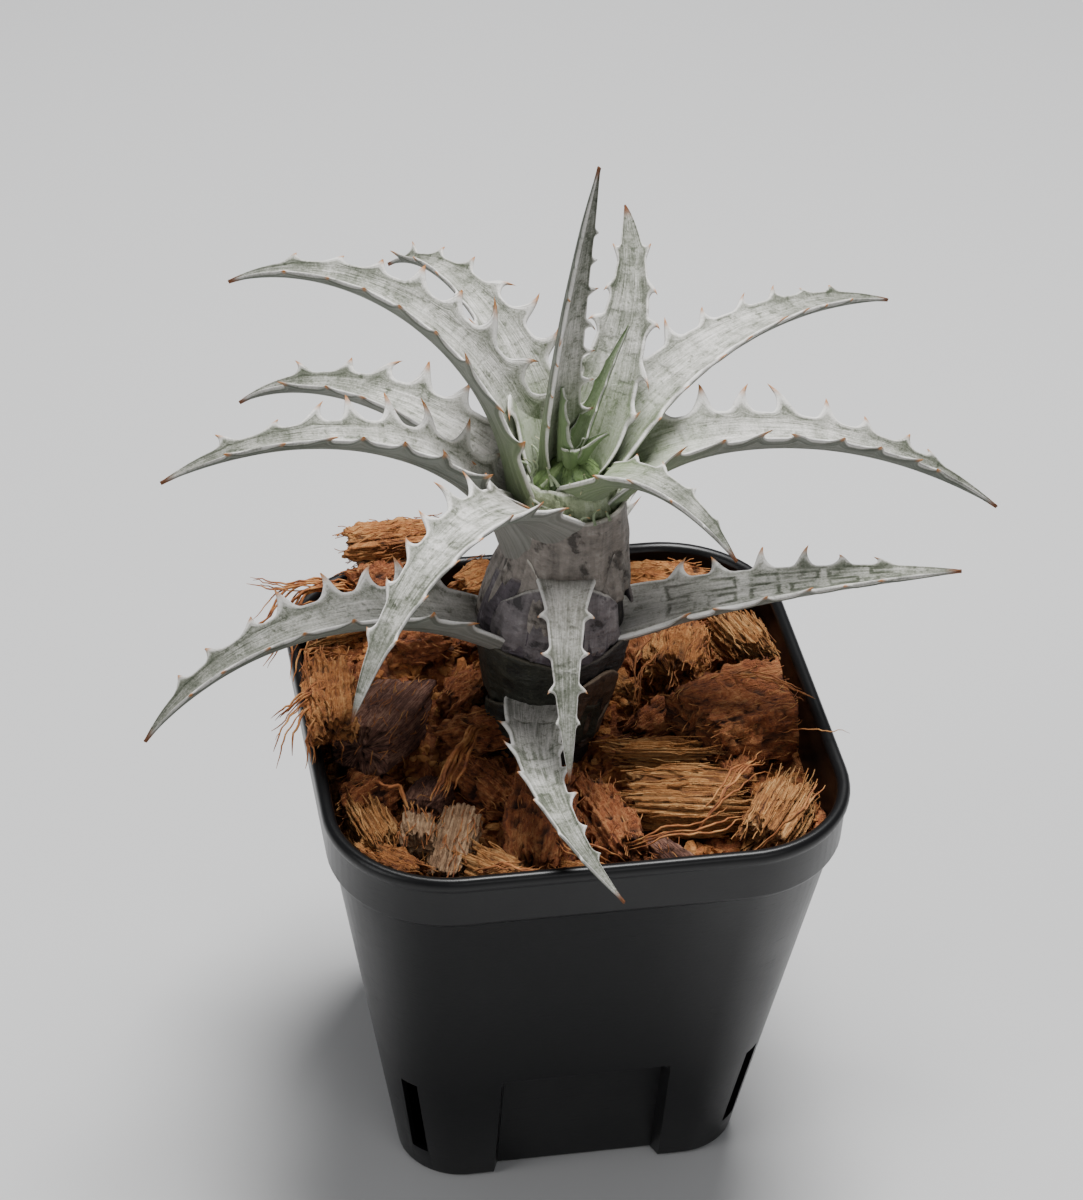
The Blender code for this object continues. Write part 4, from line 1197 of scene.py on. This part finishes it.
def square_ring(half, corner, height, recess=0.0, steps=16):
    """A rounded square, counter-clockwise, with each side pressed in over its middle."""
    ring = []
    for quarter in range(4):
        turn = Matrix.Rotation(math.radians(90.0 * quarter), 3, "Z")
        side = [(half, -RECESS_HALF_WIDTH), (half - recess, -RECESS_HALF_WIDTH + 1.0),
                (half - recess, RECESS_HALF_WIDTH - 1.0), (half, RECESS_HALF_WIDTH)]
        for step in range(steps + 1):
            angle = math.radians(90.0 * step / steps)
            centre = half - corner
            side.append((centre + corner * math.cos(angle), centre + corner * math.sin(angle)))
        ring.extend(turn @ Vector((x, y, height)) for x, y in side)
    return ring


def build_bed(material):
    """The crumb and coir under the chips."""
    inside = RIM_HALF - 0.5 - 0.7 - MIX_INSET
    rings = [square_ring(BASE_HALF - 5.4, BASE_CORNER - MIX_INSET, MIX_BOTTOM),
             square_ring(inside - 2.2, RIM_CORNER - 4.0, STEP_HEIGHT - 6.0)]
    edge = square_ring(inside, INNER_CORNER, 0.0)
    for level in range(BED_LEVELS + 1):
        share = 1.0 - 0.985 * level / BED_LEVELS
        ring = []
        for point in edge:
            x, y = point.x * share, point.y * share
            rough = noise.fractal(Vector((x * 0.30, y * 0.30, 2.0)), 0.9, 2.2, 4) * 2.4
            rough += abs(noise.noise(Vector((x * 1.1, y * 1.1, 7.0)))) * 1.1
            ring.append(Vector((x, y, mix_height(x, y) + rough - 2.6)))
        rings.append(ring)
    points, faces = loft(rings)
    # Painted shade: the bed darkens where it lies below the mix's height
    hollow = [max(0.0, min(1.0, (mix_height(point.x, point.y) - 1.6 - point.z) / 4.0))
              for point in points]
    numbers = {"husk_along": [point.x for point in points],
               "husk_around": [point.y * 0.4 for point in points],
               "husk_depth": [point.z * 0.4 for point in points], "husk_hollow": hollow}
    return mesh_object("husk_crumb_bed", points, faces, material, numbers)


def chip_rings(chip):
    """Rings of the rough chip, with its grain along its length, drawn as its solid has them."""
    draw = random.Random(chip.seed)
    notches = [draw.uniform(0.80, 1.06) for _ in range(CHIP_SIDES)]
    rings = []
    for station in range(CHIP_STATIONS):
        along = station / (CHIP_STATIONS - 1) - 0.5
        pinch = 1.0 - 0.22 * (2.0 * abs(along)) ** 3 + draw.uniform(-0.05, 0.05)
        ring = []
        for side in range(CHIP_SIDES):
            angle = 2.0 * math.pi * (side + 0.25) / CHIP_SIDES
            square = 1.0 / max(abs(math.cos(angle)), abs(math.sin(angle))) ** 0.75
            rough = notches[side] * square * pinch * draw.uniform(0.94, 1.06)
            across = math.cos(angle) * chip.width / 2.0 * rough
            above = math.sin(angle) * chip.height / 2.0 * rough
            ring.append(Vector((along * chip.length * draw.uniform(0.93, 1.05), across, above)))
        rings.append(ring)
    return rings


def build_chip(chip, material):
    """One husk chip: split along its strands, with frayed ends and crumbling pith."""
    coarse = chip_rings(chip)
    turn = Matrix.Rotation(math.radians(chip.heading), 3, "Z")
    turn = turn @ Matrix.Rotation(math.radians(chip.tilt), 3, "Y")
    centre = Vector((chip.x, chip.y, chip.z))
    small = chip.name.startswith(FILLER_NAME)
    sides, stations, caps = (64, 22, 6) if small else (96, 34, 8)
    texture = TEXTURES[chip.finish]
    draw = random.Random(chip.seed + 500)
    strands = sides // len(GROOVE)
    swell = [draw.uniform(-1.0, 1.0) for _ in range(strands)]
    frays = [[draw.uniform(-1.0, 1.0) for _ in range(strands)] for _ in range(2)]
    slants = [(draw.uniform(-0.3, 0.3), draw.uniform(-0.35, 0.35)) for _ in range(2)]
    rings, along_all, around_all, depth_all, hollow_shade_all = [], [], [], [], []

    def surface(share, side):
        """A point of the rough chip's surface."""
        level = min(int(share * (CHIP_STATIONS - 1)), CHIP_STATIONS - 2)
        part = share * (CHIP_STATIONS - 1) - level
        spot = side * CHIP_SIDES / sides
        here = int(spot) % CHIP_SIDES
        beside = (here + 1) % CHIP_SIDES
        low = coarse[level][here].lerp(coarse[level][beside], spot - int(spot))
        high = coarse[level + 1][here].lerp(coarse[level + 1][beside], spot - int(spot))
        return low.lerp(high, part)

    def add_ring(share, shrink):
        """One ring: on the surface, or shrunk to close an end."""
        ring = []
        end = 0 if share < 0.5 else 1
        outward_end = 1.0 if end else -1.0
        end_pull = max(0.0, abs(share - 0.5) * 2.0 - 0.6) * 2.5
        for side in range(sides):
            point = surface(share, side)
            strand, part = divmod(side, len(GROOVE))
            radial = Vector((0.0, point.y, point.z)).normalized()
            bark = noise.noise(Vector((point.x * 0.10, strand * 1.7, chip.seed))) * 0.6
            bark += swell[strand] * 0.35
            relief = bark * texture.strand + GROOVE[part] * texture.strand * 0.55
            spot = Vector((point.x * 0.42, point.y * 0.42, point.z * 0.42 + chip.seed))
            crumb = noise.fractal(spot, 0.75, 2.1, 4)
            relief += crumb * texture.crumb
            # Painted shade in the strands' grooves and the crumbled pits
            hollow = max(0.0, -GROOVE[part]) * 0.45 * texture.strand
            hollow += max(0.0, -crumb) * 0.9 * texture.crumb
            point = point + radial * relief * shrink
            inner = Vector((point.x, point.y * shrink, point.z * shrink))
            slope_y, slope_z = slants[end]
            inner.x += (inner.y * slope_y + inner.z * slope_z) * end_pull
            inner.x += outward_end * frays[end][strand] * texture.fray * end_pull * shrink ** 3
            if shrink < 1.0:
                seed = chip.seed + share
                pit = noise.noise(Vector((inner.y * 1.1, inner.z * 1.1, seed)))
                pit += 0.6 * noise.noise(Vector((inner.y * 3.0, inner.z * 3.0, seed)))
                inner.x -= outward_end * (0.5 + pit * 1.3)
                # Painted shade in the pitted ends
                hollow = max(hollow, min(1.0, 0.25 + pit * 0.9))
            along_all.append(point.x)
            around_all.append(point.y)
            depth_all.append(point.z)
            hollow_shade_all.append(max(0.0, min(1.0, hollow)))
            ring.append(keep_inside(turn @ inner + centre))
        rings.append(ring)

    shrinks = [0.06 + 0.94 * cap / caps for cap in range(caps)]
    for shrink in shrinks:
        add_ring(0.0, shrink)
    for station in range(stations + 1):
        add_ring(station / stations, 1.0)
    for shrink in reversed(shrinks):
        add_ring(1.0, shrink)
    points, faces = loft(rings)
    numbers = {"husk_along": along_all, "husk_around": around_all, "husk_depth": depth_all,
               "husk_hollow": hollow_shade_all}
    return mesh_object(chip.name + "_rough", points, faces, material, numbers)


def keep_in_pot(graph, geometry, top):
    """Move the points lower than a height to the inner side of the pot's wall."""
    place = graph.node("GeometryNodeInputPosition")
    x, y, z = graph.split(place)
    share = (z / (STEP_HEIGHT * MM)).least(0.0).most(1.0)
    half = (share * (INNER_HALF - BASE_HALF) + (BASE_HALF - 0.7)) * MM
    corner = (share * (INNER_CORNER - BASE_CORNER) + BASE_CORNER) * MM
    flat = half - corner
    over_x = (abs(x) - flat).least(0.0)
    over_y = (abs(y) - flat).least(0.0)
    over = (over_x * over_x + over_y * over_y) ** 0.5
    pull = (corner / over.least(0.01 * MM)).most(1.0)
    kept = graph.combine(x.sign() * (abs(x).most(flat) + over_x * pull),
                         y.sign() * (abs(y).most(flat) + over_y * pull), z)
    return graph.node("GeometryNodeSetPosition", {}, geometry,
                      Selection=z.math("LESS_THAN", top * MM), Position=kept)


def crumb_tree():
    """Small crumbs of husk lying over the bed."""
    tree, graph, given = geometry_tree("husk crumbs", (
        ("Surface", "Geometry"), "Count Per Area", "Size", "Lowest", ("Seed", "Int")))
    node = graph.node
    place = node("GeometryNodeInputPosition")
    faces_up = graph.split(node("GeometryNodeInputNormal"))[2].math("GREATER_THAN", 0.5)
    high = graph.split(place)[2].math("GREATER_THAN", given["Lowest"]) * faces_up
    spots = graph.on_faces(given["Surface"], given["Count Per Area"], given["Seed"], high)
    crumb = node("GeometryNodeMeshIcoSphere", {"output": "Mesh"}, Radius=1.0, Subdivisions=2)
    turned = graph.drawn((0.0, 0.0, 0.0), (0.6, 0.6, 6.3), given["Seed"] + 1)
    size = graph.drawn((0.5, 0.25, 0.2), (1.5, 0.7, 0.5), given["Seed"] + 2)
    real = scatter(graph, spots, crumb, node("FunctionNodeEulerToRotation", {}, turned),
                   graph.vector("SCALE", size, given["Size"]))
    real = shake(graph, real, place, (0.5, 0.5, 0.5), given["Size"] * 1.6, Scale=900.0, Detail=2.0)
    close_tree(graph, keep_in_pot(graph, real, HOLD_BELOW), given["Material"])
    return tree


def fibre_tree():
    """Short bent threads scattered over a surface and lying along its grain."""
    tree, graph, given = geometry_tree("coir threads", (
        ("Surface", "Geometry"), "Count Per Area", "Length", "Radius", ("Grain", "Vector"),
        "Spread", "Wave", ("Seed", "Int")))
    node = graph.node
    spots = graph.on_faces(given["Surface"], given["Count Per Area"], given["Seed"])
    line = node("GeometryNodeCurvePrimitiveLine", {}, (-0.5, 0.0, 0.0), (0.5, 0.0, 0.0))
    line = node("GeometryNodeResampleCurve", {}, line, Count=7)
    loose = graph.drawn((-1.0, -1.0, -1.0), (1.0, 1.0, 1.0), given["Seed"])
    loose = graph.vector("SCALE", loose, given["Spread"])
    size = graph.drawn(0.35, 1.0, given["Seed"] + 3)
    real = scatter(graph, spots, line, loosely(graph, given["Grain"], loose),
                   size * given["Length"])
    place = node("GeometryNodeInputPosition")
    real = shake(graph, real, place, (0.5, 0.5, 0.42), given["Length"] * given["Wave"],
                 Scale=260.0, Detail=1.0)
    real = keep_in_pot(graph, real, HOLD_BELOW)
    close_tubes(graph, real, 4, given["Radius"], given["Material"])
    return tree


def strand_tree():
    """Twisted bunches of coir along given paths, whose points carry the strand's thickness."""
    tree, graph, given = geometry_tree("loose strands", (("Paths", "Geometry"), "Twist"))
    node = graph.node
    curves = node("GeometryNodeMeshToCurve", {}, given["Paths"])
    curves = node("GeometryNodeCurveSplineType", {"spline_type": "CATMULL_ROM"}, curves)
    curves = node("GeometryNodeResampleCurve", {}, curves, Count=22)
    place = node("GeometryNodeInputPosition")
    curves = shake(graph, curves, place, (0.5, 0.5, 0.5), given["Twist"], Scale=170.0, Detail=3.0,
                   Roughness=0.6)
    curves = keep_in_pot(graph, curves, HOLD_STRANDS_BELOW)
    share = node("GeometryNodeSplineParameter", {"output": "Factor"})
    ends = (1.0 - abs(share * 2.0 - 1.0) ** 3.0) * 0.8 + 0.2
    close_tubes(graph, curves, 5, 1.0, given["Material"], Scale=graph.stored("thickness") * ends,
                Fill_Caps=True)
    return tree


def build_strands(name, strands, material, twist):
    """Loose strands lying over the chips and the rim."""
    draw = random.Random(STRAND_SEED)

    def scattered():
        """How far a strand strays from its bunch."""
        return Vector((draw.gauss(0.0, 1.0), draw.gauss(0.0, 1.0), draw.gauss(0.0, 0.3)))

    points, edges, thickness = [], [], []
    for strand in strands:
        for _ in range(strand.count):
            first = len(points)
            shift = scattered() * strand.spread
            fan = scattered() * strand.spread
            reach = draw.uniform(0.72, 1.0)
            for index, point in enumerate(strand.points):
                share = index / (len(strand.points) - 1)
                spot = Vector(strand.points[0]).lerp(Vector(point), reach)
                points.append((spot + shift * 0.5 + fan * share * 0.8) * MM)
                thickness.append(strand.thickness * draw.uniform(0.35, 0.75) * MM)
            edges.extend((step, step + 1) for step in range(first, len(points) - 1))
    mesh = bpy.data.meshes.new(name)
    mesh.from_pydata(points, edges, [])
    store_numbers(mesh, "thickness", thickness)
    return grow(name, strand_tree(), {"Twist": twist * MM, "Material": material}, mesh)


# Pot

def pot_width(height):
    """Half width and corner radius of the tapered wall below the collar."""
    share = height / STEP_HEIGHT
    half = BASE_HALF + (RIM_HALF - COLLAR_STEP - BASE_HALF) * share
    corner = BASE_CORNER + (RIM_CORNER - COLLAR_STEP - BASE_CORNER) * share
    return half, corner


def pot_rings():
    """The pot's section, up the outside, over the rolled lip and down the inside to its floor."""
    rings = []

    def wall(height, shrink=0.0, recess=0.0):
        """A ring of the tapered wall."""
        half, corner = pot_width(height)
        rings.append(square_ring(half - shrink, corner - shrink, height, recess))

    def collar(height, inset):
        """A ring of the upright collar."""
        rings.append(square_ring(RIM_HALF - inset, RIM_CORNER - inset, height))

    wall(0.0, 0.9, RECESS_DEPTH)
    wall(0.25, 0.35, RECESS_DEPTH)
    wall(0.9, 0.0, RECESS_DEPTH)
    wall(RECESS_HEIGHT - 2.4, 0.0, RECESS_DEPTH)
    wall(RECESS_HEIGHT - 1.0, 0.0, RECESS_DEPTH * 0.62)
    wall(RECESS_HEIGHT)
    wall(STEP_HEIGHT - 1.6)
    wall(STEP_HEIGHT - 1.1, -0.25)
    for rise, inset in COLLAR_FOOT:
        collar(STEP_HEIGHT + rise, inset)
    for drop, inset in COLLAR_LIP:
        collar(POT_HEIGHT - drop, inset)
    collar(STEP_HEIGHT + POT_WALL, 2.1)
    wall(STEP_HEIGHT - 1.6, POT_WALL)
    wall(RECESS_HEIGHT + POT_WALL, POT_WALL)
    wall(RECESS_HEIGHT - 1.5 + POT_WALL, POT_WALL, RECESS_DEPTH)
    wall(FLOOR_TOP, POT_WALL, RECESS_DEPTH)
    return rings


def build_pot(material):
    """The thin-walled square pot, with drain slots low in its corners."""
    pot = mesh_object("pot_shell", *loft(pot_rings()), material)
    cutters = bpy.data.collections.new("drain slots")
    bpy.context.scene.collection.children.link(cutters)
    for quarter in range(4):
        turn = Matrix.Rotation(math.radians(90.0 * quarter + 45.0), 3, "Z")
        rings = []
        for height in (SLOT_BOTTOM, SLOT_TOP):
            near, far = SLOT_REACH
            corners = ((near, -0.5), (far, -0.5), (far, 0.5), (near, 0.5))
            rings.append([turn @ Vector((x, y * SLOT_WIDTH, height)) for x, y in corners])
        slot = mesh_object("drain_slot", *loft(rings), material)
        bpy.context.scene.collection.objects.unlink(slot)
        cutters.objects.link(slot)
    modifier = pot.modifiers.new("slots", "BOOLEAN")
    modifier.operation = "DIFFERENCE"
    modifier.solver = "MANIFOLD"
    modifier.operand_type = "COLLECTION"
    modifier.collection = cutters
    keep_result(pot)
    for slot in list(cutters.objects):
        bpy.data.objects.remove(slot, do_unlink=True)
    bpy.data.collections.remove(cutters)
    pot.data.shade_smooth()
    pot.data.set_sharp_from_angle(angle=math.radians(38.0))
    return pot


# Stage

def build_camera():
    """The photograph's point of view."""
    data = bpy.data.cameras.new("camera")
    data.sensor_width = SENSOR
    data.lens = FOCAL_PIXELS / PHOTO_HEIGHT * SENSOR
    camera = add_object("camera", data)
    right, up = Vector(CAMERA_RIGHT), Vector(CAMERA_UP)
    turn = Matrix((right, up, right.cross(up))).transposed().to_4x4()
    camera.matrix_world = Matrix.Translation(Vector(CAMERA_PLACE) * MM) @ turn
    bpy.context.scene.camera = camera


def build_light(light):
    """One soft studio light."""
    data = bpy.data.lights.new(light.name, "AREA")
    data.shape = "RECTANGLE"
    data.size, data.size_y = light.size
    data.energy = light.power
    lamp = add_object(light.name, data)
    place = Vector(light.place)
    turn = (Vector(light.aim) - place).to_track_quat("-Z", "Y").to_matrix().to_4x4()
    lamp.matrix_world = Matrix.Translation(place) @ turn


def build_stage():
    """A plain pale floor and soft light."""
    mesh = bpy.data.meshes.new("floor")
    corners = ((-1, -1), (1, -1), (1, 1), (-1, 1))
    mesh.from_pydata([(x * FLOOR_REACH, y * FLOOR_REACH, 0.0) for x, y in corners], [],
                     [(0, 1, 2, 3)])
    floor = add_object("floor", mesh)
    paper = Finish("pale floor")
    paper.set(Base_Color=FLOOR_GREY, Roughness=0.9)
    mesh.materials.append(paper.material)
    world = bpy.data.worlds.new("studio")
    world.use_nodes = True
    background = world.node_tree.nodes["Background"]
    background.inputs["Color"].default_value = SKY
    background.inputs["Strength"].default_value = SKY_STRENGTH
    bpy.context.scene.world = world
    for light in LIGHTS:
        build_light(light)


def keep(thing, slot, *nodes):
    """Put a finished piece on the frame in place of the nodes it stands for."""
    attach(thing, "root")
    if nodes:
        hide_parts(*nodes)
    return thing


def dress_plant():
    """The leaves, the heart and the sheathed stem."""
    silver = leaf_finish("silver leaf scales")
    young = leaf_finish("young leaf", True, YOUNG_TIP)
    rust = leaf_finish("rim teeth", True, RIM_TOOTH_TIP)
    skins = {key: sheath_finish(*skin) for key, skin in SKINS.items()}
    blade = leaf_tree()
    for leaf in LEAVES:
        form = FORMS.get(leaf.name, USUAL)
        keep(build_leaf(leaf, blade, silver, form, ROOT_DEPTH), "silver_leaf", leaf.name)
    heart = "green_heart", "heart_young_leaves"
    for leaf in YOUNG_LEAVES:
        keep(build_leaf(leaf, blade, young, YOUNG, YOUNG_ROOT_DEPTH), *heart)
    keep(build_heart_cup(skins["heart"]), *heart)
    draw = random.Random(HEART_SEED)
    ring = [(360.0 * index / SOFT_TEETH + draw.uniform(-5.0, 5.0), draw.uniform(5.4, 7.2),
             draw.uniform(127.2, 128.4)) for index in range(SOFT_TEETH)]
    keep(build_soft_teeth("heart_soft_teeth", ring, young, 4.0, 0.34, 3), *heart)
    stem = "leaf_sheath", "stem_with_sheaths"
    ring = [(degrees, RIM_TEETH_RADIUS, RIM_TEETH_HEIGHT) for degrees in RIM_TEETH]
    keep(build_soft_teeth("sheath_rim_teeth", ring, rust, 3.4, 0.32, 8), *stem)
    # The core takes the dark skin, which carries painted shade
    keep(build_stem_core(skins["dark"]), *stem)
    for sheath in SHEATHS:
        keep(build_sheath(sheath, skins[sheath.skin]), *stem)


def dress_mix():
    """The bed with its crumbs, the loose strands and the chips with their threads."""
    husks = {key: husk_finish(*husk) for key, husk in HUSKS.items()}
    coir = fibre_finish()
    bed = keep(build_bed(husks["red"]), "red_husk", "husk_mix_bed")
    settings = {**CRUMBS, "Material": husks["orange"]}
    crumbs = grow("husk_crumbs", crumb_tree(), settings, bed.data.copy())
    keep(crumbs, "red_husk", "husk_mix_bed")
    keep(build_strands("loose_strands", STRANDS, coir, STRAND_TWIST), "red_husk")
    threads = fibre_tree()
    for chip in (*CHIPS, *SMALL_CHIPS, *filler_chips()):
        loose = chip.name in frame["nodes"]
        body = build_chip(chip, husks[chip.finish])
        slot = "straw_husk" if loose else "red_husk"
        keep(body, slot, chip.name if loose else "husk_mix_bed")
        turn = math.radians(chip.heading)
        thready = TEXTURES[chip.finish].strand
        settings = {
            "Count Per Area": 70000.0 + 90000.0 * thready, "Length": 0.0035 + 0.0055 * thready,
            "Radius": 0.00007 + 0.00004 * thready, "Spread": 0.75 - 0.60 * thready,
            "Wave": 0.55 - 0.40 * thready, "Grain": (math.cos(turn), math.sin(turn), 0.0),
            "Seed": chip.seed, "Material": husks["straw"] if chip.finish == "straw" else coir}
        keep(grow(chip.name + "_fibres", threads, settings, body.data.copy()), slot)


build_camera()
build_stage()
keep(build_pot(pot_finish()), "pot_plastic", "pot")
dress_plant()
dress_mix()
